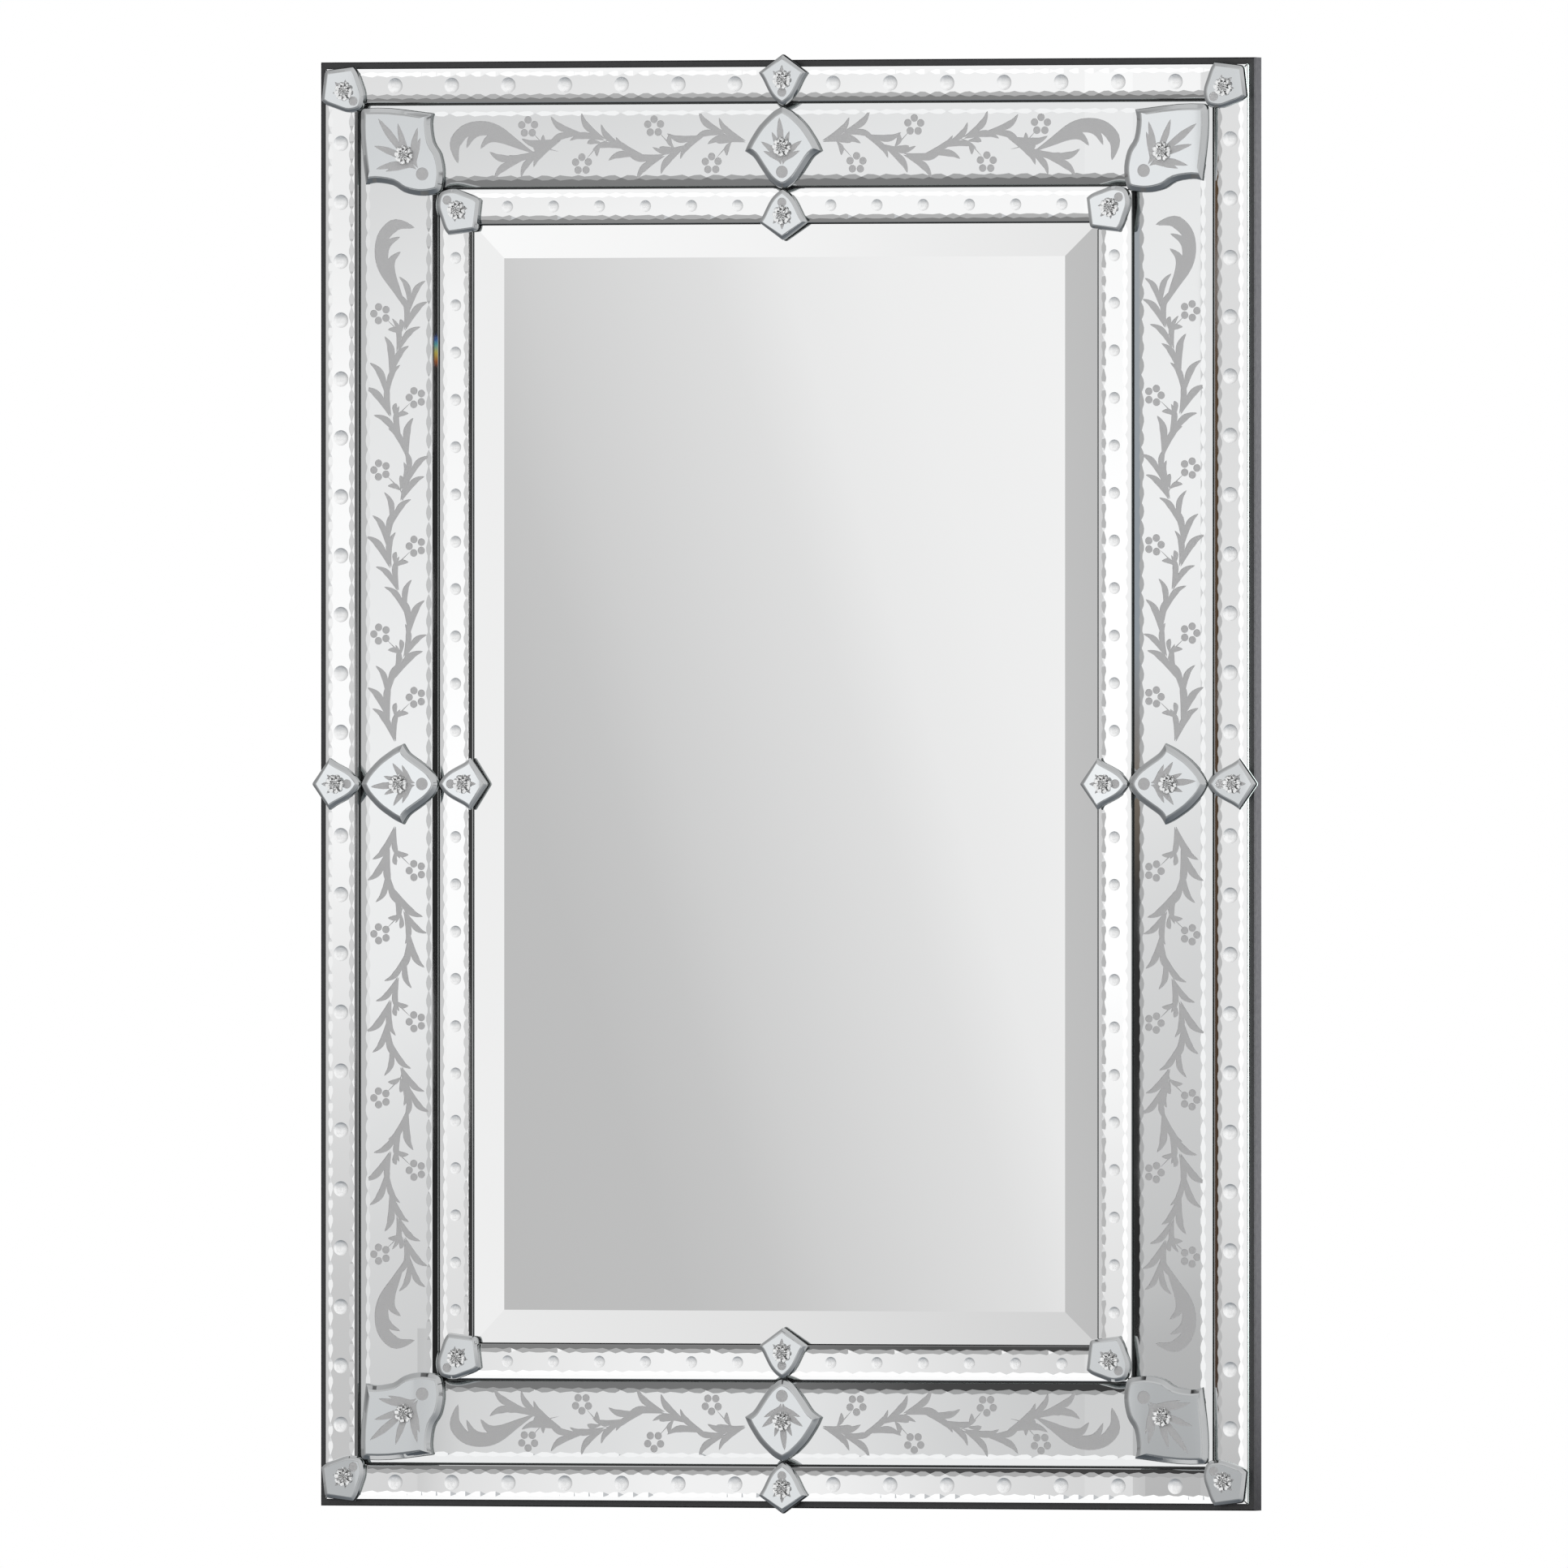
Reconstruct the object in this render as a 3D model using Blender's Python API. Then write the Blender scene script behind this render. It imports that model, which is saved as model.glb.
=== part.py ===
"""Wall mirror in the Venetian manner.

A black board carries three rings of bevelled mirror glass around a large
bevelled mirror. Cut glass plates with clear glass rosettes cover the mitred
corners and the middle of each side.

Metres, +Z up, the front faces -Y. The origin is the middle of the board's
back face, where it lies against the wall. Insets are measured from the
board's edge towards its middle.
"""
import math

import bmesh
import bpy
from mathutils import Vector

# Board
BOARD_WIDTH = 0.762
BOARD_HEIGHT = 1.118
BOARD_THICKNESS = 0.015
BOARD_CHAMFER = 0.001

# Keyholes routed in the board's back, for two wall screws
KEYHOLE_FROM_SIDE = 0.110
KEYHOLE_FROM_TOP = 0.120
KEYHOLE_ENTRY_RADIUS = 0.0055
KEYHOLE_CHANNEL_STEP = 0.0002
KEYHOLE_NECK_WIDTH = 0.0055
KEYHOLE_LIP = 0.004
KEYHOLE_DEPTH = 0.009
KEYHOLE_RISE = 0.014
SLOT_SIDES = 12

# Rails of mirror glass, ring by ring from the board's edge inwards
EDGE_MARGIN = 0.005
OUTER_RAIL_WIDTH = 0.027
WIDE_RAIL_WIDTH = 0.064
INNER_RAIL_WIDTH = 0.027
RING_GAP = 0.0015
MIRROR_GAP = 0.001
MITRE_GAP = 0.0006
BEVEL_ANGLE = math.radians(24)
NARROW_BEVEL = 0.0048
WIDE_BEVEL = 0.007
MIRROR_BEVEL = 0.0254
MIRROR_EDGE = 0.0022
GLASS_THICKNESS = 0.005

# Round dimples ground in the two narrow rings
OUTER_DIMPLE_RADIUS = 0.006
OUTER_DIMPLE_PITCH = 0.0458
INNER_DIMPLE_RADIUS = 0.0046
INNER_DIMPLE_PITCH = 0.0372
DIMPLE_DEPTH = 0.0012
DIMPLE_FLOOR_SHARE = 0.5
DIMPLE_SIDES = 8
DIMPLE_START_MARGIN = 0.020
OUTER_DIMPLE_END_MARGIN = 0.024
INNER_DIMPLE_END_MARGIN = 0.020

# Medallions: lengths run inwards from the board's edge, and each covers its rail
SMALL_MEDALLION_OVERLAP = 0.0128
SMALL_MEDALLION_LENGTH = OUTER_RAIL_WIDTH + SMALL_MEDALLION_OVERLAP
SMALL_MEDALLION_WIDTH = 0.040
LARGE_MEDALLION_SHORTFALL = 0.0005
LARGE_MEDALLION_LENGTH = WIDE_RAIL_WIDTH - LARGE_MEDALLION_SHORTFALL
LARGE_MEDALLION_WIDTH = 0.0625
MEDALLION_OVERHANG = 0.0045

# Corner plates, each drawn in a square that covers its rails' corner
CORNER_MARGIN = 0.0035
SMALL_CORNER_OVERLAP = 0.0085
SMALL_CORNER_SIZE = OUTER_RAIL_WIDTH + SMALL_CORNER_OVERLAP
LARGE_CORNER_OVERLAP = 0.004
LARGE_CORNER_SIZE = WIDE_RAIL_WIDTH + LARGE_CORNER_OVERLAP
CORNER_ROUNDING = 0.004

# Both kinds of plate
PLATE_GAP = 0.0006
PLATE_THICKNESS = 0.005
PLATE_EDGE = 0.0022
SMALL_PLATE_BEVEL = 0.0036
LARGE_PLATE_BEVEL = 0.0052

# Rosettes of clear pressed glass
ROSETTE_RADIUS = 0.0075
ROSETTE_HEIGHT = 0.0052
ROSETTE_PETALS = 8
ROSETTE_VALLEY_DROP = 0.7

LAYER_GAP = 0.0003
CUTTER_LEAD = 0.001

# Outlines as shares of the plate's own size. A medallion's points are
# (share of the length from the pointed end, share of half the width).
SMALL_MEDALLION_SIDE = [(0.0, 0.0), (0.36, 1.0), (0.50, 0.82), (0.62, 0.70), (0.77, 0.54),
                        (0.88, 0.37), (0.965, 0.16), (1.0, 0.0)]
LARGE_MEDALLION_SIDE = [(0.0, 0.0), (0.07, 0.27), (0.217, 0.59), (0.36, 0.80), (0.45, 0.91),
                        (0.545, 1.0), (0.59, 0.85), (0.64, 0.74), (0.77, 0.56), (0.895, 0.37),
                        (0.975, 0.17), (1.0, 0.0)]
# A corner plate's points are shares of its square, from its square corner
# along one side to the tip on the diagonal. The other side mirrors them.
SMALL_CORNER_SIDE = [(0.08, 0.08), (0.75, 0.0), (0.84, 0.12), (0.92, 0.335), (1.0, 0.58),
                     (0.99, 0.78), (0.925, 0.925)]
LARGE_CORNER_SIDE = [(0.0, 0.0), (0.35, 0.0), (0.87, 0.06), (0.85, 0.185), (0.88, 0.385),
                     (0.96, 0.52), (1.0, 0.70), (0.99, 0.86), (0.955, 0.955)]

# Where a rosette sits, as a share of its plate's length or square
SMALL_MEDALLION_ROSETTE = 0.50
LARGE_MEDALLION_ROSETTE = 0.494
SMALL_CORNER_ROSETTE = 0.54
LARGE_CORNER_ROSETTE = 0.534

# Depths, worked out from the wall forwards
BOARD_FRONT = -BOARD_THICKNESS
GLASS_BACK = BOARD_FRONT - LAYER_GAP
GLASS_FRONT = GLASS_BACK - GLASS_THICKNESS
PLATE_BACK = GLASS_FRONT - LAYER_GAP
PLATE_FRONT = PLATE_BACK - PLATE_THICKNESS
ROSETTE_BACK = PLATE_FRONT - LAYER_GAP

# Insets of the rings, worked out from the board's edge inwards
WIDE_RAIL_INSET = EDGE_MARGIN + OUTER_RAIL_WIDTH + RING_GAP
INNER_RAIL_INSET = WIDE_RAIL_INSET + WIDE_RAIL_WIDTH + RING_GAP
MIRROR_INSET = INNER_RAIL_INSET + INNER_RAIL_WIDTH + MIRROR_GAP

# Each side and each corner is the top one, turned clockwise seen from the front
SIDE_TURNS = {"top": 0, "right": 90, "bottom": 180, "left": 270}
CORNER_TURNS = {"top_right": 0, "bottom_right": 90, "bottom_left": 180, "top_left": 270}


def make_material(name, colour, roughness, metallic=0.0, transmission=0.0):
    material = bpy.data.materials.new(name)
    material.use_nodes = True
    shader = material.node_tree.nodes["Principled BSDF"]
    shader.inputs["Base Color"].default_value = (*colour, 1.0)
    shader.inputs["Roughness"].default_value = roughness
    shader.inputs["Metallic"].default_value = metallic
    shader.inputs["Transmission Weight"].default_value = transmission
    material.diffuse_color = (*colour, 1.0)
    return material


def make_object(name, bm, material):
    """Turn a bmesh into a named object with its faces pointing out."""
    bmesh.ops.recalc_face_normals(bm, faces=bm.faces)
    mesh = bpy.data.meshes.new(name)
    bm.to_mesh(mesh)
    bm.free()
    mesh.materials.append(material)
    made = bpy.data.objects.new(name, mesh)
    bpy.context.scene.collection.objects.link(made)
    return made


def put_on_side(made, side):
    """Stand a piece modelled for the top side on one of the four sides.

    A side's own frame has X along the side, Z out of the board and its
    origin on the board's edge.
    """
    made.rotation_euler.y = math.radians(SIDE_TURNS[side])
    made.location.x = {"left": -1, "right": 1}.get(side, 0) * BOARD_WIDTH / 2
    made.location.z = {"bottom": -1, "top": 1}.get(side, 0) * BOARD_HEIGHT / 2


def put_on_corner(made, corner):
    """Stand a piece modelled for the top right corner on one of the four."""
    made.rotation_euler.y = math.radians(CORNER_TURNS[corner])
    made.location.x = (1 if corner.endswith("right") else -1) * BOARD_WIDTH / 2
    made.location.z = (1 if corner.startswith("top") else -1) * BOARD_HEIGHT / 2


def side_half_length(side):
    return (BOARD_WIDTH if side in ("top", "bottom") else BOARD_HEIGHT) / 2


def bridge_rings(bm, rings, cap_last=True):
    """Join closed rings of the same number of points, and cap their ends."""
    for first, second in zip(rings, rings[1:]):
        count = len(first)
        for i in range(count):
            j = (i + 1) % count
            corners = [first[i], first[j], second[j], second[i]]
            if corners[2] is corners[3]:
                corners.pop()
            bm.faces.new(corners)
    bm.faces.new(rings[0])
    if cap_last:
        bm.faces.new(unique_in_order(rings[-1]))


def unique_in_order(verts):
    kept = []
    for vert in verts:
        if vert not in kept:
            kept.append(vert)
    return kept


def cut(body, cutter):
    """Take the cutter's shape out of the body, and keep the cutter hidden."""
    modifier = body.modifiers.new(cutter.name, "BOOLEAN")
    modifier.operation = "DIFFERENCE"
    modifier.solver = "EXACT"
    modifier.object = cutter
    cutter.display_type = "WIRE"
    cutter.hide_render = True


# Board with its keyholes

def bevelled_slab(half_width, half_height, back, front, bevel, edge):
    """A rectangular slab whose front edges slope over a bevel."""
    bm = bmesh.new()
    rings = []
    for inset, depth in ((0.0, back), (0.0, back - edge), (bevel, front)):
        corners = [(-1, -1), (1, -1), (1, 1), (-1, 1)]
        rings.append([bm.verts.new(((half_width - inset) * x, depth, (half_height - inset) * z))
                      for x, z in corners])
    bridge_rings(bm, rings)
    return bm


def add_round_slot(bm, x, z, radius, rise, near, far):
    """A cutter with round ends that runs up from a keyhole's entry, or a round one."""
    half_turn = SLOT_SIDES // 2
    points = []
    for lift, start in ((rise, 0), (0.0, half_turn)):
        for i in range(half_turn + (1 if rise else 0)):
            angle = 2 * math.pi * (start + i) / SLOT_SIDES
            points.append((x + radius * math.cos(angle), z + lift + radius * math.sin(angle)))
    bridge_rings(bm, [[bm.verts.new((px, depth, pz)) for px, pz in points]
                      for depth in (near, far)])


def keyhole_places():
    x = BOARD_WIDTH / 2 - KEYHOLE_FROM_SIDE
    z = BOARD_HEIGHT / 2 - KEYHOLE_FROM_TOP
    return [(-x, z), (x, z)]


def make_keyhole_cutter(name, radius, rise, near, far, material):
    bm = bmesh.new()
    for x, z in keyhole_places():
        add_round_slot(bm, x, z, radius, rise, near, far)
    return make_object(name, bm, material)


def make_board(black, hidden):
    bm = bevelled_slab(BOARD_WIDTH / 2, BOARD_HEIGHT / 2, 0.0, BOARD_FRONT,
                       BOARD_CHAMFER, BOARD_THICKNESS - BOARD_CHAMFER)
    board = make_object("backing_board", bm, black)
    cut(board, make_keyhole_cutter("keyhole_entry", KEYHOLE_ENTRY_RADIUS, 0.0,
                                   CUTTER_LEAD, -KEYHOLE_DEPTH, hidden))
    cut(board, make_keyhole_cutter("keyhole_neck", KEYHOLE_NECK_WIDTH / 2, KEYHOLE_RISE,
                                   CUTTER_LEAD, -KEYHOLE_LIP - CUTTER_LEAD, hidden))
    cut(board, make_keyhole_cutter("keyhole_channel", KEYHOLE_ENTRY_RADIUS - KEYHOLE_CHANNEL_STEP,
                                   KEYHOLE_RISE, -KEYHOLE_LIP, -KEYHOLE_DEPTH, hidden))


# Mirror glass: the middle mirror and the twelve rails

def make_mirror(silvered):
    bm = bevelled_slab(BOARD_WIDTH / 2 - MIRROR_INSET, BOARD_HEIGHT / 2 - MIRROR_INSET,
                       GLASS_BACK, GLASS_FRONT, MIRROR_BEVEL, MIRROR_EDGE)
    make_object("centre_mirror", bm, silvered)


def make_rail(name, side, inset, width, bevel, material):
    """A strip of glass bevelled on both long edges and mitred at its ends."""
    half_length = side_half_length(side)
    inner = inset + width
    edge_front = GLASS_FRONT + bevel * math.tan(BEVEL_ANGLE)
    profile = [(inset, GLASS_BACK), (inset, edge_front), (inset + bevel, GLASS_FRONT),
               (inner - bevel, GLASS_FRONT), (inner, edge_front), (inner, GLASS_BACK)]
    bm = bmesh.new()
    rings = []
    for end in (-1, 1):
        rings.append([bm.verts.new((end * (half_length - MITRE_GAP - at), depth, -at))
                      for at, depth in profile])
    bridge_rings(bm, rings)
    rail = make_object(name, bm, material)
    put_on_side(rail, side)
    return rail


def dimple_places(side, end_inset, pitch):
    """Places along a side, evenly spaced from its medallion to its corner plates."""
    first = SMALL_MEDALLION_WIDTH / 2 + DIMPLE_START_MARGIN
    last = side_half_length(side) - end_inset
    spaces = max(1, round((last - first) / pitch))
    half = [first + (last - first) * i / spaces for i in range(spaces + 1)]
    return [-x for x in reversed(half)] + half


def make_dimple_cutter(name, side, places, inset, radius, material):
    bm = bmesh.new()
    slope = radius * (1 - DIMPLE_FLOOR_SHARE) / DIMPLE_DEPTH
    levels = [(GLASS_FRONT - CUTTER_LEAD, radius + slope * CUTTER_LEAD),
              (GLASS_FRONT + DIMPLE_DEPTH, radius * DIMPLE_FLOOR_SHARE)]
    for x in places:
        rings = []
        for depth, ring_radius in levels:
            angles = [2 * math.pi * (i + 0.5) / DIMPLE_SIDES for i in range(DIMPLE_SIDES)]
            rings.append([bm.verts.new((x + ring_radius * math.cos(a), depth,
                                        -inset + ring_radius * math.sin(a))) for a in angles])
        bridge_rings(bm, rings)
    cutter = make_object(name, bm, material)
    put_on_side(cutter, side)
    return cutter


def make_dimpled_rail(ring, side, inset, width, radius, end_inset, pitch, silvered, hidden):
    rail = make_rail(f"{ring}_rail_{side}", side, inset, width, NARROW_BEVEL, silvered)
    places = dimple_places(side, end_inset, pitch)
    cut(rail, make_dimple_cutter(f"{ring}_dimples_{side}", side, places, inset + width / 2,
                                 radius, hidden))


def make_rails(silvered, hidden):
    outer_end = CORNER_MARGIN + SMALL_CORNER_SIZE + OUTER_DIMPLE_END_MARGIN
    inner_end = inner_corner_inset() + INNER_DIMPLE_END_MARGIN
    for side in SIDE_TURNS:
        make_dimpled_rail("outer", side, EDGE_MARGIN, OUTER_RAIL_WIDTH, OUTER_DIMPLE_RADIUS,
                          outer_end, OUTER_DIMPLE_PITCH, silvered, hidden)
        make_rail("wide_rail_" + side, side, WIDE_RAIL_INSET, WIDE_RAIL_WIDTH,
                  WIDE_BEVEL, silvered)
        make_dimpled_rail("inner", side, INNER_RAIL_INSET, INNER_RAIL_WIDTH, INNER_DIMPLE_RADIUS,
                          inner_end, INNER_DIMPLE_PITCH, silvered, hidden)


# Cut plates: medallions on the sides, shields on the corners

def inset_points(points, distance):
    """Move each point of a counterclockwise outline in from both its sides."""
    moved = []
    for i, point in enumerate(points):
        before = (point - points[i - 1]).normalized()
        after = (points[(i + 1) % len(points)] - point).normalized()
        inward_before = Vector((-before.y, before.x))
        inward_after = Vector((-after.y, after.x))
        middle = (inward_before + inward_after).normalized()
        moved.append(point + middle * (distance / middle.dot(inward_after)))
    return moved


def round_corner(points, index, radius, steps=3):
    """The outline with one corner rounded, and each point's own corner."""
    corner = points[index]
    before = (points[index - 1] - corner).normalized()
    after = (points[(index + 1) % len(points)] - corner).normalized()
    half_angle = before.angle(after) / 2
    centre = corner + (before + after).normalized() * (radius / math.sin(half_angle))
    start = corner + before * (radius / math.tan(half_angle)) - centre
    end = corner + after * (radius / math.tan(half_angle)) - centre
    turn = start.angle_signed(end)
    outline = []
    for i, point in enumerate(points):
        if i != index:
            outline.append((point, i))
            continue
        for step in range(steps + 1):
            angle = -turn * step / steps
            cosine, sine = math.cos(angle), math.sin(angle)
            arm = Vector((start.x * cosine - start.y * sine, start.x * sine + start.y * cosine))
            outline.append((centre + arm, i))
    return outline


def make_plate(name, outline, corners, bevel, material):
    """A plate from its outline, with each outline point tied to an inner corner."""
    bm = bmesh.new()
    rings = [[bm.verts.new((p.x, depth, p.y)) for p, _ in outline]
             for depth in (PLATE_BACK, PLATE_BACK - PLATE_EDGE)]
    inner = [bm.verts.new((p.x, PLATE_FRONT, p.y)) for p in inset_points(corners, bevel)]
    rings.append([inner[index] for _, index in outline])
    bridge_rings(bm, rings)
    return make_object(name, bm, material)


def medallion_points(side_shares, length, width, apex_inset, inwards=1):
    """A medallion's outline in a side's own frame, counterclockwise."""
    half = [(share * length, across * width / 2) for share, across in side_shares]
    around = half + [(along, -across) for along, across in reversed(half[1:-1])]
    points = [Vector((across, -(apex_inset + inwards * along))) for along, across in around]
    return counterclockwise(points)


def corner_points(side_shares, size, start_inset, inwards=1):
    """A corner plate's outline in a corner's own frame, counterclockwise."""
    half = [(a * size, b * size) for a, b in side_shares]
    around = half + [(b, a) for a, b in reversed(half[1:-1])]
    points = [Vector((-(start_inset + inwards * a), -(start_inset + inwards * b)))
              for a, b in around]
    return counterclockwise(points)


def counterclockwise(points):
    """Keep the first point first, and turn the rest round where they run clockwise."""
    area = sum(p.x * q.y - q.x * p.y for p, q in zip(points, points[1:] + points[:1]))
    return points if area > 0 else [points[0]] + points[:0:-1]


def large_corner_inset():
    """Clear of the small plate's tip, measured along the diagonal."""
    tip = CORNER_MARGIN + SMALL_CORNER_SIDE[-1][0] * SMALL_CORNER_SIZE
    rounding_loss = CORNER_ROUNDING * (1 - math.sqrt(0.5))
    return tip + PLATE_GAP - rounding_loss


def inner_corner_inset():
    """The inset of the turned small plate's square corner, beyond the large plate's tip."""
    large_tip = large_corner_inset() + LARGE_CORNER_SIDE[-1][0] * LARGE_CORNER_SIZE
    return large_tip + PLATE_GAP + SMALL_CORNER_SIDE[-1][0] * SMALL_CORNER_SIZE


def plain_outline(points):
    return [(point, i) for i, point in enumerate(points)]


def make_medallions(silvered, clear):
    large_apex = SMALL_MEDALLION_LENGTH - MEDALLION_OVERHANG + PLATE_GAP
    inner_apex = large_apex + LARGE_MEDALLION_LENGTH + PLATE_GAP + SMALL_MEDALLION_LENGTH
    kinds = {
        "outer": (SMALL_MEDALLION_SIDE, SMALL_MEDALLION_LENGTH, SMALL_MEDALLION_WIDTH,
                  -MEDALLION_OVERHANG, 1, SMALL_PLATE_BEVEL, SMALL_MEDALLION_ROSETTE),
        "large": (LARGE_MEDALLION_SIDE, LARGE_MEDALLION_LENGTH, LARGE_MEDALLION_WIDTH,
                  large_apex, 1, LARGE_PLATE_BEVEL, LARGE_MEDALLION_ROSETTE),
        "inner": (SMALL_MEDALLION_SIDE, SMALL_MEDALLION_LENGTH, SMALL_MEDALLION_WIDTH,
                  inner_apex, -1, SMALL_PLATE_BEVEL, SMALL_MEDALLION_ROSETTE),
    }
    for kind, (shares, length, width, apex, inwards, bevel, seat) in kinds.items():
        points = medallion_points(shares, length, width, apex, inwards)
        centre = (0.0, -(apex + inwards * seat * length))
        for side in SIDE_TURNS:
            name = f"medallion_{kind}_{side}"
            plate = make_plate(name, plain_outline(points), points, bevel, silvered)
            put_on_side(plate, side)
            if kind == "inner":
                bulge = make_rosette("cut_" + name, centre, PLATE_FRONT + LAYER_GAP, clear)
                put_on_side(bulge, side)
                join(plate, bulge)
            else:
                put_on_side(make_rosette("rosette_" + name, centre, ROSETTE_BACK, clear), side)


def make_corner_plates(silvered, clear):
    kinds = {
        "outer": (SMALL_CORNER_SIDE, SMALL_CORNER_SIZE, CORNER_MARGIN, 1,
                  SMALL_PLATE_BEVEL, SMALL_CORNER_ROSETTE),
        "large": (LARGE_CORNER_SIDE, LARGE_CORNER_SIZE, large_corner_inset(), 1,
                  LARGE_PLATE_BEVEL, LARGE_CORNER_ROSETTE),
        "inner": (SMALL_CORNER_SIDE, SMALL_CORNER_SIZE, inner_corner_inset(), -1,
                  SMALL_PLATE_BEVEL, SMALL_CORNER_ROSETTE),
    }
    for kind, (shares, size, start, inwards, bevel, seat) in kinds.items():
        points = corner_points(shares, size, start, inwards)
        outline = round_corner(points, 0, CORNER_ROUNDING)
        middle = -(start + inwards * seat * size)
        for corner in CORNER_TURNS:
            name = f"corner_{kind}_{corner}"
            put_on_corner(make_plate(name, outline, points, bevel, silvered), corner)
            put_on_corner(make_rosette("rosette_" + name, (middle, middle), ROSETTE_BACK, clear),
                          corner)


def make_rosette(name, centre, back, material):
    """A flower of pressed glass: round petals that rise to a low button."""
    bm = bmesh.new()
    count = 2 * ROSETTE_PETALS
    rings = []
    for petal, valley, level in ((1.0, 0.84, 0.0), (0.86, 0.66, 0.55)):
        ring = []
        for i in range(count):
            on_petal = i % 2 == 0
            radius = ROSETTE_RADIUS * (petal if on_petal else valley)
            rise = ROSETTE_HEIGHT * level * (1.0 if on_petal else ROSETTE_VALLEY_DROP)
            angle = 2 * math.pi * i / count
            ring.append(bm.verts.new((centre[0] + radius * math.cos(angle), back - rise,
                                      centre[1] + radius * math.sin(angle))))
        rings.append(ring)
    bridge_rings(bm, rings, cap_last=False)
    crown = bm.verts.new((centre[0], back - ROSETTE_HEIGHT, centre[1]))
    for i, vert in enumerate(rings[-1]):
        bm.faces.new((vert, rings[-1][(i + 1) % count], crown))
    return make_object(name, bm, material)


def join(plate, bulge):
    """Grow the plate by a shape that overlaps it, as one solid."""
    modifier = plate.modifiers.new(bulge.name, "BOOLEAN")
    modifier.operation = "UNION"
    modifier.solver = "EXACT"
    modifier.object = bulge
    bulge.display_type = "WIRE"
    bulge.hide_render = True


def main():
    for old in list(bpy.data.objects):
        bpy.data.objects.remove(old)
    black = make_material("black_lacquer", (0.03, 0.03, 0.032), 0.35)
    silvered = make_material("silvered_glass", (0.87, 0.88, 0.89), 0.03, metallic=1.0)
    clear = make_material("clear_glass", (0.97, 0.98, 0.98), 0.02, transmission=1.0)
    make_board(black, black)
    make_mirror(silvered)
    make_rails(silvered, black)
    make_corner_plates(silvered, clear)
    make_medallions(silvered, clear)


main()
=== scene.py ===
"""Looks of the wall mirror: cut, ground and engraved mirror glass on a black board."""
import math
import random

import bmesh
import bpy
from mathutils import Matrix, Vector
from mathutils.geometry import intersect_line_line_2d


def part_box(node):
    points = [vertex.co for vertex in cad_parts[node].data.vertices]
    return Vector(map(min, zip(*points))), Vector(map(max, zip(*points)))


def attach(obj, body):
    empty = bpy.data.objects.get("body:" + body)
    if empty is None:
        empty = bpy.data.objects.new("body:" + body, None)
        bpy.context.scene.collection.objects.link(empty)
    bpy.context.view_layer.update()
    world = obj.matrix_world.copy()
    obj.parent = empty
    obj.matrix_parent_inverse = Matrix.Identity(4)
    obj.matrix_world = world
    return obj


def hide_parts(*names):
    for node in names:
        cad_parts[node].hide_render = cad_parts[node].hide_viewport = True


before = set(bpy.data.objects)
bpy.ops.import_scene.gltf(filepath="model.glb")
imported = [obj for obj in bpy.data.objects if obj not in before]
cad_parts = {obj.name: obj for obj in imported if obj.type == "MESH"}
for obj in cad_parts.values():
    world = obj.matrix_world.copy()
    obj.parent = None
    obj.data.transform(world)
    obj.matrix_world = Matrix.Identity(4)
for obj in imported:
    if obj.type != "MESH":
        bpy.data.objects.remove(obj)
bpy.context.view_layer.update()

MM = 0.001

# What the frame says: the board's and the mirror's size, and how deep each layer of glass lies
HALF_WIDTH, _, HALF_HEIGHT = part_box("backing_board")[1]
MIRROR_LOW, MIRROR_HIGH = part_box("centre_mirror")
GLASS_FRONT = MIRROR_LOW[1]
GLASS_BACK = MIRROR_HIGH[1]
GLASS_THICKNESS = GLASS_BACK - GLASS_FRONT
PLATE_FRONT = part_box("medallion_large_top")[0][1]
PLATE_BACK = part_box("medallion_large_top")[1][1]
PLATE_THICKNESS = PLATE_BACK - PLATE_FRONT

# How the glass is cut: bevels by their width, and edges by what is left of the thickness
BEVEL_ANGLE = math.radians(24)
NARROW_BEVEL = 4.8 * MM
WIDE_BEVEL = 7.0 * MM
MIRROR_BEVEL = 25.4 * MM
MIRROR_EDGE = 2.2 * MM
MIRROR_BEVEL_ANGLE = math.atan((GLASS_THICKNESS - MIRROR_EDGE) / MIRROR_BEVEL)
ARRIS = 0.45 * MM
NOTCH_DEPTH = 0.46 * MM
NARROW_NOTCH = 12.5 * MM
WIDE_NOTCH = 14.0 * MM
ENGRAVING_DEPTH = 0.3 * MM
SMALL_PLATE_BEVEL = 3.6 * MM
LARGE_PLATE_BEVEL = 5.2 * MM
PLATE_EDGE = 1.9 * MM
PLATE_SHOULDER = 0.6 * MM
PLATE_EASING = 0.8 * MM
STRIP_SMOOTH_ANGLE = math.radians(8)
PLATE_SMOOTH_ANGLE = math.radians(28)

# Sides and corners are the top one and the top right one, turned clockwise
SIDE_TURNS = {"top": 0, "right": 90, "bottom": 180, "left": 270}
CORNER_TURNS = {"top_right": 0, "bottom_right": 90, "bottom_left": 180, "top_left": 270}

# The strips that are cut, and the ones across the mirror that are copied from them
TWINS = {"top": "bottom", "right": "left"}

# Order of the material slots on every piece of cut glass; the last is a plate bevel silver darkened as
# painted shade
FACE, FROST, DIMPLE, EDGE, BACK, SHADE_PAINTED_BEVEL = range(6)


# Selecting and finishing, as by hand

def only(*pieces):
    """Select these objects and nothing else, the last one active."""
    bpy.ops.object.select_all(action="DESELECT")
    for piece in pieces:
        piece.select_set(True)
    bpy.context.view_layer.objects.active = pieces[-1]


def edit(piece):
    only(piece)
    bpy.ops.object.mode_set(mode="EDIT")
    bpy.ops.mesh.select_mode(type="FACE")
    bpy.ops.mesh.select_all(action="DESELECT")


def leave_edit():
    bpy.ops.object.mode_set(mode="OBJECT")


def pick(wanted):
    """In edit mode, select the faces for which wanted(middle, normal) holds."""
    mesh = bpy.context.object.data
    bm = bmesh.from_edit_mesh(mesh)
    for face in bm.faces:
        face.select_set(wanted(face.calc_center_median(), face.normal))
    bmesh.update_edit_mesh(mesh)


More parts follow.
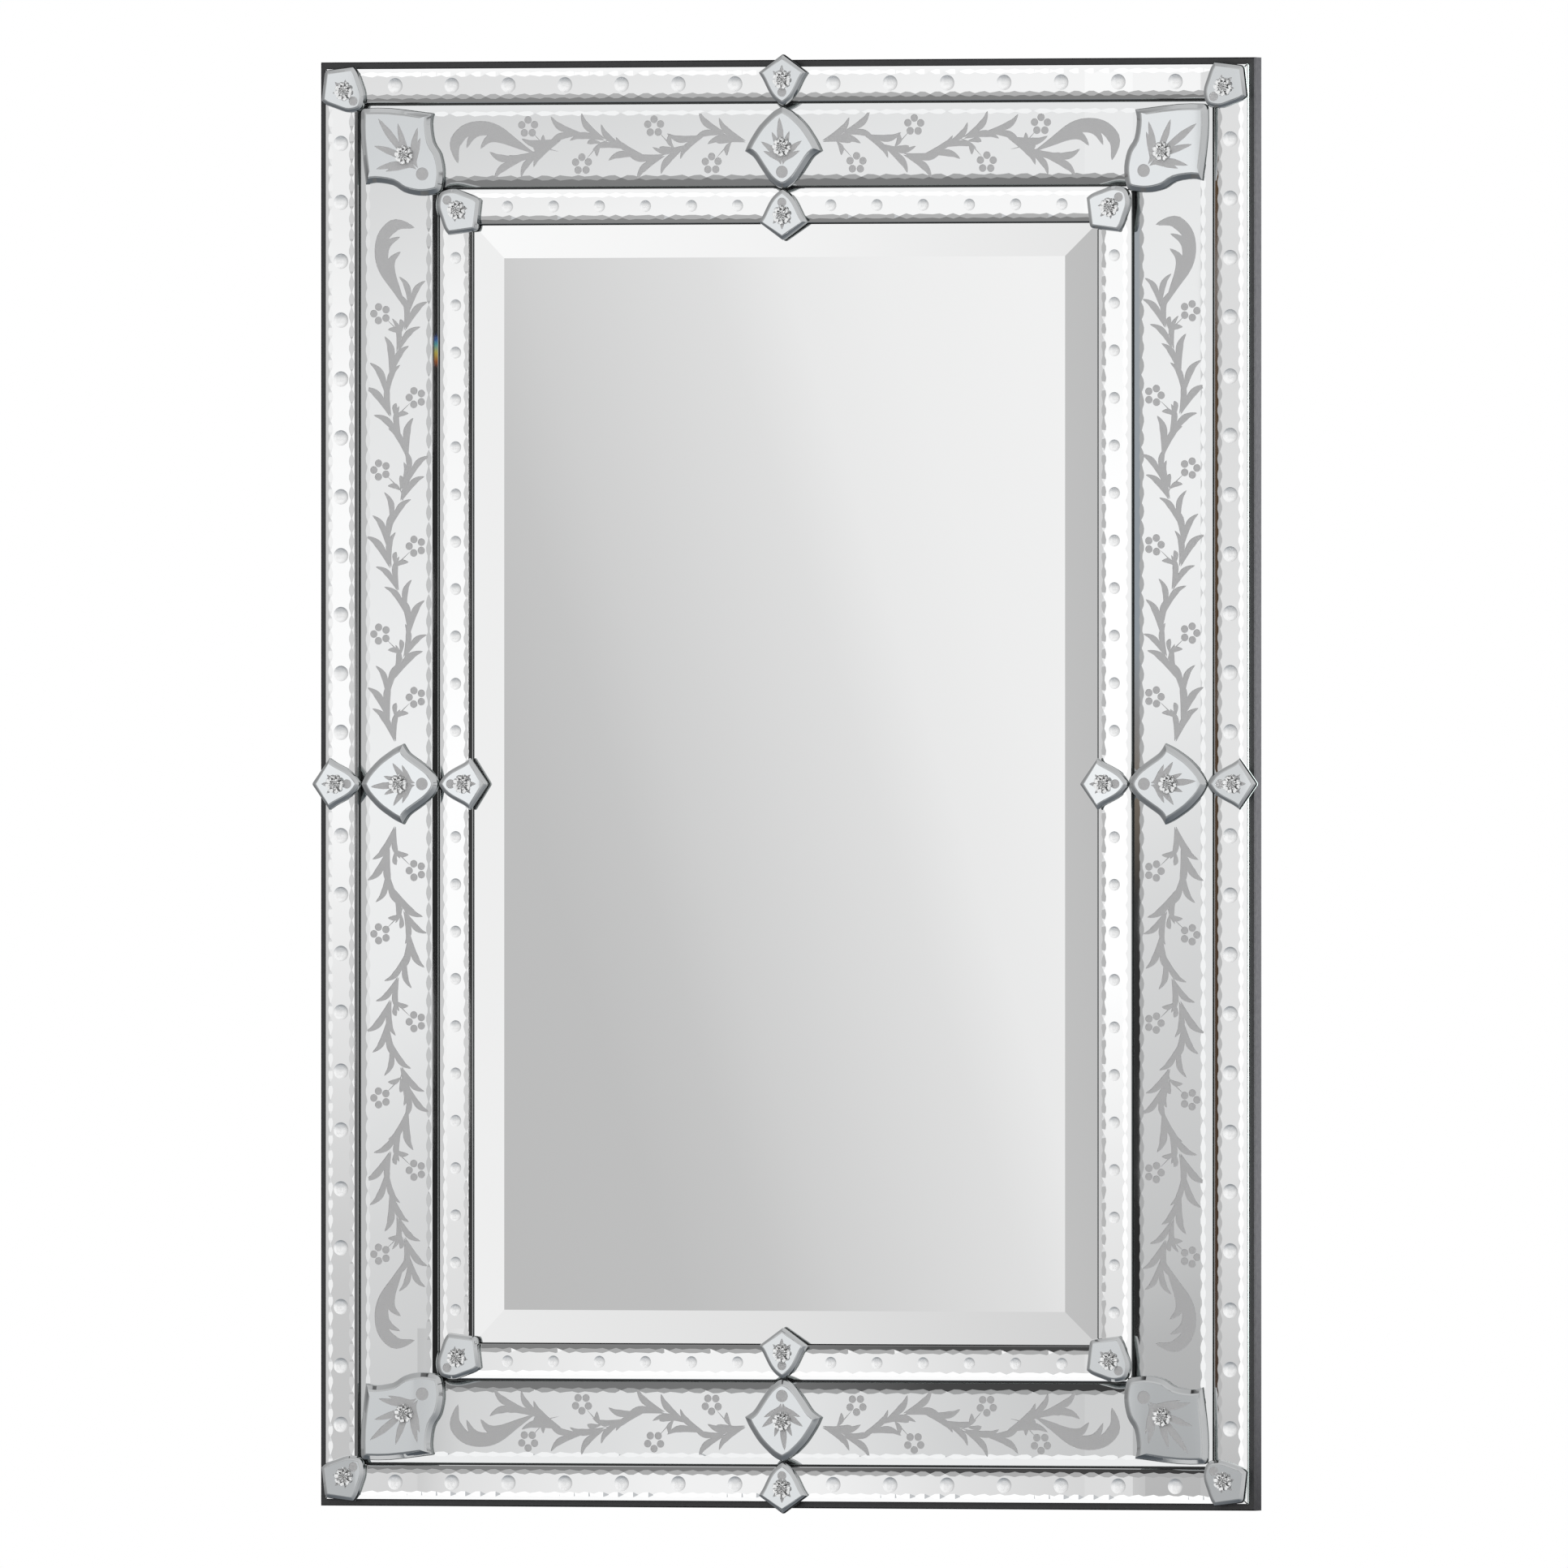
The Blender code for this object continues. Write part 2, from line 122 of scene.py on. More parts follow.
def apply_place(piece):
    only(piece)
    bpy.ops.object.transform_apply(location=True, rotation=True, scale=True)


def close_up(piece, threshold=0.002 * MM):
    """Merge doubled points and turn all faces outwards."""
    edit(piece)
    bpy.ops.mesh.select_all(action="SELECT")
    bpy.ops.mesh.remove_doubles(threshold=threshold)
    bpy.ops.mesh.normals_make_consistent(inside=False)
    leave_edit()


def cut_away(piece, cutter, own_overlaps=False):
    """Take the cutter out of the piece for good, and drop the cutter."""
    only(piece)
    bpy.ops.object.modifier_add(type="BOOLEAN")
    modifier = piece.modifiers[-1]
    modifier.operation = "DIFFERENCE"
    modifier.solver = "EXACT"
    modifier.use_self = own_overlaps
    modifier.object = cutter
    bpy.ops.object.modifier_apply(modifier=modifier.name)
    bpy.data.objects.remove(cutter)


def copy_of(piece):
    only(piece)
    bpy.ops.object.duplicate()
    return bpy.context.object


def stand(piece, turn, x, z):
    """Carry a piece from its side's or corner's own frame to its place."""
    piece.rotation_euler.y = math.radians(turn)
    piece.location = (x, 0, z)
    apply_place(piece)


def stand_on_side(piece, side):
    stand(piece, SIDE_TURNS[side], {"left": -1, "right": 1}.get(side, 0) * HALF_WIDTH,
          {"bottom": -1, "top": 1}.get(side, 0) * HALF_HEIGHT)


def stand_on_corner(piece, corner):
    stand(piece, CORNER_TURNS[corner], (1 if corner.endswith("right") else -1) * HALF_WIDTH,
          (1 if corner.startswith("top") else -1) * HALF_HEIGHT)


def hand_over(piece, name, node):
    """Name a finished piece, hang it from the frame's root and hide the solid that it stands for."""
    piece.name = name
    piece.data.name = name
    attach(piece, "root")
    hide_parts(node)


# Node groups that more than one finish uses

def new_group(name, inputs, outputs):
    group = bpy.data.node_groups.new(name, "ShaderNodeTree")
    for label, kind, value in inputs:
        socket = group.interface.new_socket(label, in_out="INPUT", socket_type=kind)
        socket.default_value = value
    for label, kind in outputs:
        group.interface.new_socket(label, in_out="OUTPUT", socket_type=kind)
    return group, group.nodes.new("NodeGroupInput"), group.nodes.new("NodeGroupOutput")


def make_wipe_group():
    """Faint smears and dust on polished glass: a roughness that drifts a little."""
    group, given, result = new_group(
        "wiped_glass",
        [("Vector", "NodeSocketVector", (0, 0, 0)), ("Clean", "NodeSocketFloat", 0.01),
         ("Smeared", "NodeSocketFloat", 0.03), ("Scale", "NodeSocketFloat", 9.0)],
        [("Roughness", "NodeSocketFloat")])
    noise = group.nodes.new("ShaderNodeTexNoise")
    noise.inputs["Detail"].default_value = 4.0
    spread = group.nodes.new("ShaderNodeMapRange")
    spread.inputs["From Min"].default_value = 0.4
    spread.inputs["From Max"].default_value = 0.75
    link = group.links.new
    link(given.outputs["Vector"], noise.inputs["Vector"])
    link(given.outputs["Scale"], noise.inputs["Scale"])
    link(noise.outputs["Fac"], spread.inputs["Value"])
    link(given.outputs["Clean"], spread.inputs["To Min"])
    link(given.outputs["Smeared"], spread.inputs["To Max"])
    link(spread.outputs["Result"], result.inputs["Roughness"])
    return group


def make_grain_group():
    """Fine ground grain: a colour and a height that vary from point to point."""
    group, given, result = new_group(
        "ground_grain",
        [("Vector", "NodeSocketVector", (0, 0, 0)), ("Dark", "NodeSocketColor", (0.3, 0.3, 0.3, 1)),
         ("Light", "NodeSocketColor", (0.5, 0.5, 0.5, 1)), ("Scale", "NodeSocketFloat", 900.0)],
        [("Color", "NodeSocketColor"), ("Height", "NodeSocketFloat")])
    noise = group.nodes.new("ShaderNodeTexNoise")
    noise.inputs["Detail"].default_value = 3.0
    mix = group.nodes.new("ShaderNodeMix")
    mix.data_type = "RGBA"
    link = group.links.new
    link(given.outputs["Vector"], noise.inputs["Vector"])
    link(given.outputs["Scale"], noise.inputs["Scale"])
    link(noise.outputs["Fac"], mix.inputs["Factor"])
    link(given.outputs["Dark"], mix.inputs["A"])
    link(given.outputs["Light"], mix.inputs["B"])
    link(mix.outputs["Result"], result.inputs["Color"])
    link(noise.outputs["Fac"], result.inputs["Height"])
    return group


WIPED = make_wipe_group()
GRAIN = make_grain_group()


# Finishes

def new_finish(name, colour, metallic, roughness):
    material = bpy.data.materials.new(name)
    material.use_nodes = True
    shader = material.node_tree.nodes["Principled BSDF"]
    shader.inputs["Base Color"].default_value = (*colour, 1)
    shader.inputs["Metallic"].default_value = metallic
    shader.inputs["Roughness"].default_value = roughness
    return material, shader


def add_group(material, group, **values):
    """Place a node group on Object coordinates in a material."""
    tree = material.node_tree
    node = tree.nodes.new("ShaderNodeGroup")
    node.node_tree = group
    place = tree.nodes.new("ShaderNodeTexCoord")
    tree.links.new(place.outputs["Object"], node.inputs["Vector"])
    for label, value in values.items():
        node.inputs[label].default_value = value
    return node


def make_silvered(name, colour, clean, smeared):
    """Polished mirror glass seen from the front: the silver gives it its colour, and the darker copies
    for strips and plates paint shade into it.
    """
    material, shader = new_finish(name, colour, 1.0, clean)
    wiped = add_group(material, WIPED, Clean=clean, Smeared=smeared, Scale=7.0)
    material.node_tree.links.new(wiped.outputs["Roughness"], shader.inputs["Roughness"])
    return material


def add_grain(material, shader, dark, light, scale, bump):
    grain = add_group(material, GRAIN, Dark=(*dark, 1), Light=(*light, 1), Scale=scale)
    tree = material.node_tree
    relief = tree.nodes.new("ShaderNodeBump")
    relief.inputs["Strength"].default_value = bump
    relief.inputs["Distance"].default_value = 0.0001
    tree.links.new(grain.outputs["Height"], relief.inputs["Height"])
    tree.links.new(relief.outputs["Normal"], shader.inputs["Normal"])
    tree.links.new(grain.outputs["Color"], shader.inputs["Base Color"])


def make_frost():
    """Wheel engraving left matt: even grey, with the grain of the stone."""
    material, shader = new_finish("frosted_engraving", (0.42, 0.42, 0.43), 0.0, 0.55)
    add_grain(material, shader, (0.60, 0.60, 0.605), (0.75, 0.75, 0.755), 1400.0, 0.25)
    return material


def make_edge():
    """The sawn and smoothed edge of sheet glass, a dull grey green."""
    material, shader = new_finish("glass_edge", (0.30, 0.34, 0.33), 0.25, 0.22)
    add_grain(material, shader, (0.22, 0.26, 0.25), (0.40, 0.44, 0.43), 500.0, 0.15)
    return material


def make_back_paint():
    material, shader = new_finish("mirror_back_paint", (0.16, 0.165, 0.17), 0.0, 0.6)
    add_grain(material, shader, (0.13, 0.135, 0.14), (0.20, 0.205, 0.21), 300.0, 0.2)
    return material


def make_black_lacquer():
    material, shader = new_finish("black_lacquer", (0.03, 0.03, 0.032), 0.0, 0.38)
    add_grain(material, shader, (0.022, 0.022, 0.024), (0.042, 0.042, 0.044), 260.0, 0.25)
    return material


def make_crystal():
    """Clear pressed glass."""
    material, shader = new_finish("clear_crystal", (0.98, 0.985, 0.985), 0.0, 0.02)
    shader.inputs["Transmission Weight"].default_value = 1.0
    shader.inputs["IOR"].default_value = 1.5
    return material


FROSTED = make_frost()
GROUND_DIMPLE = make_silvered("ground_dimple", (0.92, 0.923, 0.925), 0.24, 0.28)
GLASS_EDGE = make_edge()
BACK_PAINT = make_back_paint()
CRYSTAL = make_crystal()
MIRROR_SILVER = make_silvered("mirror_silver", (0.93, 0.932, 0.932), 0.0, 0.02)
# Strip silvers: copies of the pane's silver made darker, the wide strips' much darker, as painted shade
NARROW_SILVER_PAINTED_SHADE = make_silvered("narrow_strip_silver_painted_shade", (0.905, 0.908, 0.91), 0.0, 0.016)
WIDE_SILVER_PAINTED_SHADE = make_silvered("wide_strip_silver_painted_shade", (0.775, 0.783, 0.787), 0.0, 0.016)
# Plate silver: darker and bluer than the pane's silver, as painted shade
PLATE_SILVER_PAINTED_SHADE = make_silvered("plate_silver_painted_shade", (0.745, 0.77, 0.785), 0.01, 0.04)
# Plate bevels: a much darker silver than the plate's flat, painted shade on every bevel of the plates
PLATE_BEVEL_PAINTED_SHADE = make_silvered("plate_bevel_painted_shade", (0.50, 0.51, 0.515), 0.02, 0.05)


def lay_slots(piece, silver, index=FACE):
    """Give a blank or a cutter the glass finishes, and all its faces one of them."""
    for material in (silver, FROSTED, GROUND_DIMPLE, GLASS_EDGE, BACK_PAINT, PLATE_BEVEL_PAINTED_SHADE):
        piece.data.materials.append(material)
    for polygon in piece.data.polygons:
        polygon.material_index = index


def paint_glass(piece, back):
    """Give the faces that no wheel has marked their finish, after the place they have."""
    for polygon in piece.data.polygons:
        if polygon.material_index != FACE:
            continue
        if polygon.normal.y > 0.9 and polygon.center.y > back - 0.1 * MM:
            polygon.material_index = BACK
        elif abs(polygon.normal.y) < 0.2:
            polygon.material_index = EDGE


def paint_board():
    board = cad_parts["backing_board"]
    board.data.materials.clear()
    board.data.materials.append(make_black_lacquer())


# Curves and outlines

def flowing(points, steps):
    """Points on a smooth curve through these points, the last one left out."""
    guides = [points[0], *points, points[-1]]
    line = []
    for a, b, c, d in zip(guides, guides[1:], guides[2:], guides[3:]):
        a, b, c, d = Vector(a), Vector(b), Vector(c), Vector(d)
        for step in range(steps):
            t = step / steps
            line.append(0.5 * (2 * b + (c - a) * t + (2 * a - 5 * b + 4 * c - d) * t * t
                               + (3 * b - a - 3 * c + d) * t ** 3))
    return line


def blade(points, width, widest=0.62, steps=3):
    """The outline of a sharp leaf along a curve, widest part of the way up."""
    spine = flowing(points, steps) + [Vector(points[-1])]
    last = len(spine) - 1
    left, right = [], []
    for i in range(1, last):
        share = i / last
        if share < widest:
            half = width / 2 * math.sin(share / widest * math.pi / 2)
        else:
            half = width / 2 * ((1 - share) / (1 - widest)) ** 0.8
        along = (spine[i + 1] - spine[i - 1]).normalized()
        across = Vector((-along.y, along.x)) * half
        left.append(spine[i] + across)
        right.append(spine[i] - across)
    return [spine[0], *right, spine[-1], *reversed(left)]


def dot(u, v, radius, sides=14):
    return [Vector((u + radius * math.cos(2 * math.pi * i / sides),
                    v + radius * math.sin(2 * math.pi * i / sides))) for i in range(sides)]


def filled_shape(outline):
    """A flat filled shape in the XZ plane, from a circle of as many points."""
    bpy.ops.mesh.primitive_circle_add(vertices=len(outline), radius=MM, fill_type="NGON")
    shape = bpy.context.object
    for vert, point in zip(shape.data.vertices, outline):
        vert.co = (point.x, 0, point.y)
    return shape


def engrave(piece, outlines, front):
    """Grind flat-bottomed shapes a little way into the glass and leave them matt."""
    shapes = [filled_shape(outline) for outline in outlines]
    only(*shapes)
    bpy.ops.object.join()
    cutter = bpy.context.object
    lead = 0.4 * MM
    edit(cutter)
    bpy.ops.mesh.select_all(action="SELECT")
    depth = lead + ENGRAVING_DEPTH
    bpy.ops.mesh.extrude_region_move(TRANSFORM_OT_translate={"value": (0, depth, 0)})
    bpy.ops.mesh.select_all(action="SELECT")
    bpy.ops.mesh.normals_make_consistent(inside=False)
    leave_edit()
    cutter.location.y = front - lead
    apply_place(cutter)
    lay_slots(cutter, FROSTED, FROST)
    cut_away(piece, cutter, own_overlaps=True)


# Strips of the three rings. A strip's own frame has X along it, Z out of the
# board and its origin on the board's edge, and only its right half is cut:
# a mirror gives the other one.

def half_strip(reach, inset, width, bevel, silver):
    """The right half of a strip: bevelled on its long edges, mitred at its end."""
    drop = (bevel - ARRIS) * math.tan(BEVEL_ANGLE)
    edge = GLASS_THICKNESS - drop - ARRIS
    spare = 20 * MM
    bpy.ops.mesh.primitive_cube_add(size=1, location=(reach / 2, GLASS_BACK - edge / 2,
                                                      -inset - width / 2),
                                    scale=(reach + 2 * spare, edge, width))
    strip = bpy.context.object
    apply_place(strip)
    edit(strip)
    pick(lambda middle, normal: normal.y < -0.9)
    bpy.ops.mesh.inset(thickness=ARRIS, depth=ARRIS)
    bpy.ops.mesh.inset(thickness=bevel - ARRIS, depth=drop)
    for place, normal in (((0, 0, 0), (-1, 0, 0)), ((reach, 0, -inset), (1, 0, -1))):
        bpy.ops.mesh.select_all(action="SELECT")
        bpy.ops.mesh.bisect(plane_co=place, plane_no=normal, use_fill=True, clear_outer=True)
    leave_edit()
    lay_slots(strip, silver)
    return strip


def notch_comb(length, pitch):
    """A cutter whose underside is a row of shallow wheel cuts, end to end."""
    steps = 8
    across = 8 * MM
    height = 2 * MM
    clear = 0.02 * MM
    aside = 1 / 1024
    count = math.ceil(length / pitch)
    bpy.ops.mesh.primitive_grid_add(x_subdivisions=count * steps, y_subdivisions=1, size=1,
                                    scale=(count * pitch, across, 1),
                                    location=(count * pitch / 2, 0, 0))
    comb = bpy.context.object
    apply_place(comb)
    # A little aside, so that a point between two cuts never counts as the end of the first
    for vert in comb.data.vertices:
        share = (vert.co.x / pitch + aside) % 1.0
        vert.co.z = clear - (NOTCH_DEPTH + clear) * (1 - (2 * share - 1) ** 2)
    edit(comb)
    bpy.ops.mesh.select_all(action="SELECT")
    bpy.ops.mesh.extrude_region_move(TRANSFORM_OT_translate={"value": (0, 0, height)})
    bpy.ops.mesh.select_all(action="SELECT")
    bpy.ops.mesh.normals_make_consistent(inside=False)
    leave_edit()
    return comb


def cut_notches(strip, reach, inset, width, bevel, pitch):
    """Scallop the ridge between each bevel and the flat."""
    for outward, ridge in ((1, inset + bevel), (-1, inset + width - bevel)):
        comb = notch_comb(reach, pitch)
        comb.rotation_euler.x = math.pi / 2 - outward * BEVEL_ANGLE / 2
        comb.location = (-pitch / 2, GLASS_FRONT, -ridge)
        apply_place(comb)
        cut_away(strip, comb)


def grind_dimples(strip, first, last, count, inset, radius, depth):
    """Round dimples in a row, each the cap of a sphere."""
    lead = 0.5 * MM
    ball = (radius ** 2 + depth ** 2) / (2 * depth)
    bpy.ops.mesh.primitive_uv_sphere_add(segments=36, ring_count=48, radius=ball,
                                         location=(first, GLASS_FRONT + depth - ball, -inset),
                                         rotation=(math.pi / 2, 0, 0))
    cutter = bpy.context.object
    apply_place(cutter)
    edit(cutter)
    bpy.ops.mesh.select_all(action="SELECT")
    bpy.ops.mesh.bisect(plane_co=(0, GLASS_FRONT - lead, 0), plane_no=(0, -1, 0),
                        use_fill=True, clear_outer=True)
    leave_edit()
    bpy.ops.object.modifier_add(type="ARRAY")
    row = cutter.modifiers[-1]
    row.count = count
    row.use_relative_offset = False
    row.use_constant_offset = True
    row.constant_offset_displace = ((last - first) / (count - 1), 0, 0)
    row.use_merge_vertices = False
    bpy.ops.object.modifier_apply(modifier=row.name)
    lay_slots(cutter, GROUND_DIMPLE, DIMPLE)
    cut_away(strip, cutter)


def mirror_half(strip):
    """Open the cut at the middle and mirror the half across it."""
    edit(strip)
    pick(lambda middle, normal: abs(middle.x) < 0.001 * MM and abs(normal.x) > 0.99)
    bpy.ops.mesh.delete(type="FACE")
    leave_edit()
    bpy.ops.object.modifier_add(type="MIRROR")
    mirror = strip.modifiers[-1]
    mirror.use_axis[0] = True
    mirror.merge_threshold = 0.01 * MM
    bpy.ops.object.modifier_apply(modifier=mirror.name)
    close_up(strip)


def share_strip(strip, ring, side):
    """Mirror, finish and copy a strip to both of the sides that have its size."""
    mirror_half(strip)
    paint_glass(strip, GLASS_BACK)
    only(strip)
    bpy.ops.object.shade_smooth_by_angle(angle=STRIP_SMOOTH_ANGLE)
    other = copy_of(strip)
    for piece, where in ((strip, side), (other, TWINS[side])):
        stand_on_side(piece, where)
        hand_over(piece, f"{ring}_strip_{where}", f"{ring}_rail_{where}")


def strip_sizes(node, side):
    """Reach along the side, inset and width of a strip, read off its solid."""
    low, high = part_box(node)
    if side in ("top", "bottom"):
        return high[0], HALF_HEIGHT - high[2], high[2] - low[2]
    return high[2], HALF_WIDTH - high[0], high[0] - low[0]


# The vine on the wide strips: u runs from the middle of the strip towards
# its corner, v across it, outwards.

WAVE = 9 * MM
FIN_PITCH = 17.5 * MM
FIN_WIDTH = 5.5 * MM
FLOWER_OFFSET = 14.5 * MM
FLOWER_RING = 5.5 * MM
FLOWER_DOT = 3.0 * MM
CURL_LENGTH = 73 * MM
# A thorn-shaped leaf's curve, in mm along the spine and away from it
FIN_CURVE = [(0, 0.5), (8, 1.3), (16, 2.9), (22, 6.0), (26.5, 11.0)]
# The three leaves of the curl: width, where it is widest, and its points in mm from the curl's end
CURL = [
    (10 * MM, 0.80, [(-73, -8), (-56, 3), (-40, 13), (-26, 15.2), (-13, 11.5), (-5, 1), (-7.5, -13.4)]),
    (6 * MM, 0.76, [(-66, -5), (-46, 7.5), (-30, 10.8), (-20, 8.5), (-14.5, -1.6)]),
    (6.5 * MM, 0.74, [(-76, -8), (-58, -1), (-43, 5), (-33, 5.5), (-26, -2)]),
]


def vine_spine(start, flowers, curl_end):
    """Swings away from each flower in turn, then runs into the curl."""
    points = [(start, 2 * MM)]
    for i, u in enumerate(flowers):
        points.append((u, WAVE if i % 2 == 0 else -WAVE))
    points.append((curl_end - CURL_LENGTH + 14 * MM, -4 * MM))
    return flowing(points, 12)


def vine_fins(spine, chance):
    """Pairs of thorn-shaped leaves that spring from the spine, one after another."""
    outlines = []
    gone = FIN_PITCH
    for before, here in zip(spine, spine[1:]):
        gone += (here - before).length
        if gone < FIN_PITCH:
            continue
        gone -= FIN_PITCH
        along = (here - before).normalized()
        across = Vector((-along.y, along.x))
        for hand in (1, -1):
            size = chance.uniform(0.88, 1.12)
            spread = chance.uniform(0.85, 1.15) * hand
            points = [here + along * (u * size * MM) + across * (v * spread * MM) for u, v in FIN_CURVE]
            outlines.append(blade(points, FIN_WIDTH * size, widest=0.62))
    return outlines


def flower(u, v):
    """Five ground dots on a thin stem with two small leaves."""
    toward = 1 if v > 0 else -1
    outlines = [dot(u + FLOWER_RING * math.cos(turn), v + FLOWER_RING * math.sin(turn), FLOWER_DOT)
                for turn in (2 * math.pi * i / 5 + 0.3 for i in range(5))]
    root = Vector((u - 15.8 * MM, v - toward * 16.5 * MM))
    stem = [(u - 25 * MM, root.y - toward * 2.5 * MM), tuple(root),
            (u - 9 * MM, v - toward * 10 * MM), (u - 4 * MM, v - toward * 4.6 * MM)]
    outlines.append(blade(stem, 1.0 * MM, widest=0.5))
    for du, dv in ((11.5, 0.5), (3.5, 10.5)):
        tip = root + Vector((du * MM, toward * dv * MM))
        bend = root.lerp(tip, 0.55) + Vector((1.5 * MM, -toward * 1.2 * MM))
        outlines.append(blade([tuple(root), tuple(bend), tuple(tip)], 4.2 * MM, widest=0.6, steps=4))
    return outlines


def vine(start, flowers, curl_end, chance):
    outlines = vine_fins(vine_spine(start, flowers, curl_end), chance)
    for i, u in enumerate(flowers):
        outlines += flower(u, -FLOWER_OFFSET if i % 2 == 0 else FLOWER_OFFSET)
    for width, widest, points in CURL:
        path = [(curl_end + u * MM, v * MM) for u, v in points]
        outlines.append(blade(path, width, widest=widest, steps=4))
    return outlines


VINES = {
    "top": {"start": 30 * MM, "flowers": [u * MM for u in (59, 106, 165, 209)],
            "curl_end": 274 * MM},
    "right": {"start": 31 * MM, "flowers": [u * MM for u in (67, 116, 184, 243, 299, 364)],
              "curl_end": 438 * MM},
}


def make_wide_strips(chance):
    for side in TWINS:
        reach, inset, width = strip_sizes("wide_rail_" + side, side)
        strip = half_strip(reach, inset, width, WIDE_BEVEL, WIDE_SILVER_PAINTED_SHADE)
        cut_notches(strip, reach, inset, width, WIDE_BEVEL, WIDE_NOTCH)
        middle = -(inset + width / 2)
        outlines = [[p + Vector((0, middle)) for p in outline]
                    for outline in vine(**VINES[side], chance=chance)]
        engrave(strip, outlines, GLASS_FRONT)
        share_strip(strip, "wide", side)


# Rows of dimples: radius, depth, first and last from the middle, and how many
DIMPLES = {
    ("outer", "top"): (6.0 * MM, 1.2 * MM, 40 * MM, 318 * MM, 7),
    ("outer", "right"): (6.0 * MM, 1.2 * MM, 40 * MM, 496 * MM, 11),
    ("inner", "top"): (4.6 * MM, 0.9 * MM, 38 * MM, 226 * MM, 6),
    ("inner", "right"): (4.6 * MM, 0.9 * MM, 41 * MM, 407 * MM, 11),
}


def make_narrow_strips():
    for (ring, side), (radius, depth, first, last, count) in DIMPLES.items():
        reach, inset, width = strip_sizes(f"{ring}_rail_{side}", side)
        strip = half_strip(reach, inset, width, NARROW_BEVEL, NARROW_SILVER_PAINTED_SHADE)
        cut_notches(strip, reach, inset, width, NARROW_BEVEL, NARROW_NOTCH)
        grind_dimples(strip, first, last, count, inset + width / 2, radius, depth)
        share_strip(strip, ring, side)


# The mirror in the middle

def make_centre_mirror():
    bpy.ops.mesh.primitive_cube_add(size=1, location=(0, GLASS_BACK - MIRROR_EDGE / 2, 0),
                                    scale=(MIRROR_HIGH[0] - MIRROR_LOW[0], MIRROR_EDGE,
                                           MIRROR_HIGH[2] - MIRROR_LOW[2]))
    mirror = bpy.context.object
    apply_place(mirror)
    edit(mirror)
    pick(lambda middle, normal: normal.y < -0.9)
    bpy.ops.mesh.inset(thickness=MIRROR_BEVEL, depth=GLASS_THICKNESS - MIRROR_EDGE)
    leave_edit()
    lay_slots(mirror, MIRROR_SILVER)
    paint_glass(mirror, GLASS_BACK)
    hand_over(mirror, "mirror_pane", "centre_mirror")


# Cut plates. Outlines are shares of a plate's own size, as in its solid.

SMALL_MEDALLION = [(0.0, 0.0), (0.36, 1.0), (0.50, 0.82), (0.62, 0.70), (0.77, 0.54),
                   (0.88, 0.37), (0.965, 0.16), (1.0, 0.0)]
LARGE_MEDALLION = [(0.0, 0.0), (0.07, 0.27), (0.217, 0.59), (0.36, 0.80), (0.45, 0.91),
                   (0.545, 1.0), (0.59, 0.85), (0.64, 0.74), (0.77, 0.56), (0.895, 0.37),
                   (0.975, 0.17), (1.0, 0.0)]
SMALL_CORNER = [(0.08, 0.08), (0.75, 0.0), (0.84, 0.12), (0.92, 0.335), (1.0, 0.58),
                (0.99, 0.78), (0.925, 0.925)]
LARGE_CORNER = [(0.0, 0.0), (0.35, 0.0), (0.87, 0.06), (0.85, 0.185), (0.88, 0.385),
                (0.96, 0.52), (1.0, 0.70), (0.99, 0.86), (0.955, 0.955)]


def closed_outline(half, sharp, other):
    """Both sides of a plate, smooth but for its first point and its two sharp corners."""
    steps = 3
    back = [other(point) for point in reversed(half[:-1])]
    around = half + back
    last = len(around) - 1
    spans = [around[:sharp + 1], around[sharp:last - sharp + 1], around[last - sharp:]]
    line = []
    for span in spans:
        line += flowing(span, steps if len(span) > 2 else 1)
    return line


def medallion_outline(shares, sharp, apex, length, width, inwards):
    half = [(across * width / 2, -(apex + inwards * along * length)) for along, across in shares]
    return closed_outline(half, sharp, lambda point: (-point[0], point[1]))


def corner_outline(shares, sharp, start, size, inwards):
    half = [(-(start + inwards * a * size), -(start + inwards * b * size)) for a, b in shares]
    return closed_outline(half, sharp, lambda point: (point[1], point[0]))


def counterclockwise(points):
    area = sum(p.x * q.y - q.x * p.y for p, q in zip(points, points[1:] + points[:1]))
    return points if area > 0 else [points[0]] + points[:0:-1]


def inset_ring(points, distance):
    """The outline moved in all round, without the folds and loops of tight bends."""
    longest_loop = 8
    moved = []
    count = len(points)
    for i, point in enumerate(points):
        before = (point - points[i - 1]).normalized()
        after = (points[(i + 1) % count] - point).normalized()
        inward_before = Vector((-before.y, before.x))
        inward_after = Vector((-after.y, after.x))
        middle = (inward_before + inward_after).normalized()
        moved.append(point + middle * (distance / middle.dot(inward_after)))
    for _ in range(count):
        folded = [i for i in range(count)
                  if (moved[(i + 1) % count] - moved[i]).dot(points[(i + 1) % count] - points[i]) < 0]
        for i in folded:
            middle = (moved[i] + moved[(i + 1) % count]) / 2
            moved[i] = moved[(i + 1) % count] = middle
        if not folded:
            break
    for i in range(count):
        for span in range(2, longest_loop + 1):
            j = (i + span) % count
            crossing = intersect_line_line_2d(moved[i], moved[(i + 1) % count],
                                              moved[j], moved[(j + 1) % count])
            if crossing:
                for step in range(1, span + 1):
                    moved[(i + step) % count] = crossing.copy()
    return moved


def rounded(points, radius, steps=5):
    """The outline with its first point rounded, or left as that many points at once."""
    corner = points[0]
    if radius <= 0:
        return [corner] * steps + points
    before = (points[-1] - corner).normalized()
    after = (points[1] - corner).normalized()
    half_angle = before.angle(after) / 2
    centre = corner + (before + after).normalized() * (radius / math.sin(half_angle))
    start = corner + before * (radius / math.tan(half_angle)) - centre
    end = corner + after * (radius / math.tan(half_angle)) - centre
    arc = [centre + start.slerp(end, step / steps) * radius for step in range(steps + 1)]
    return arc + points[1:]


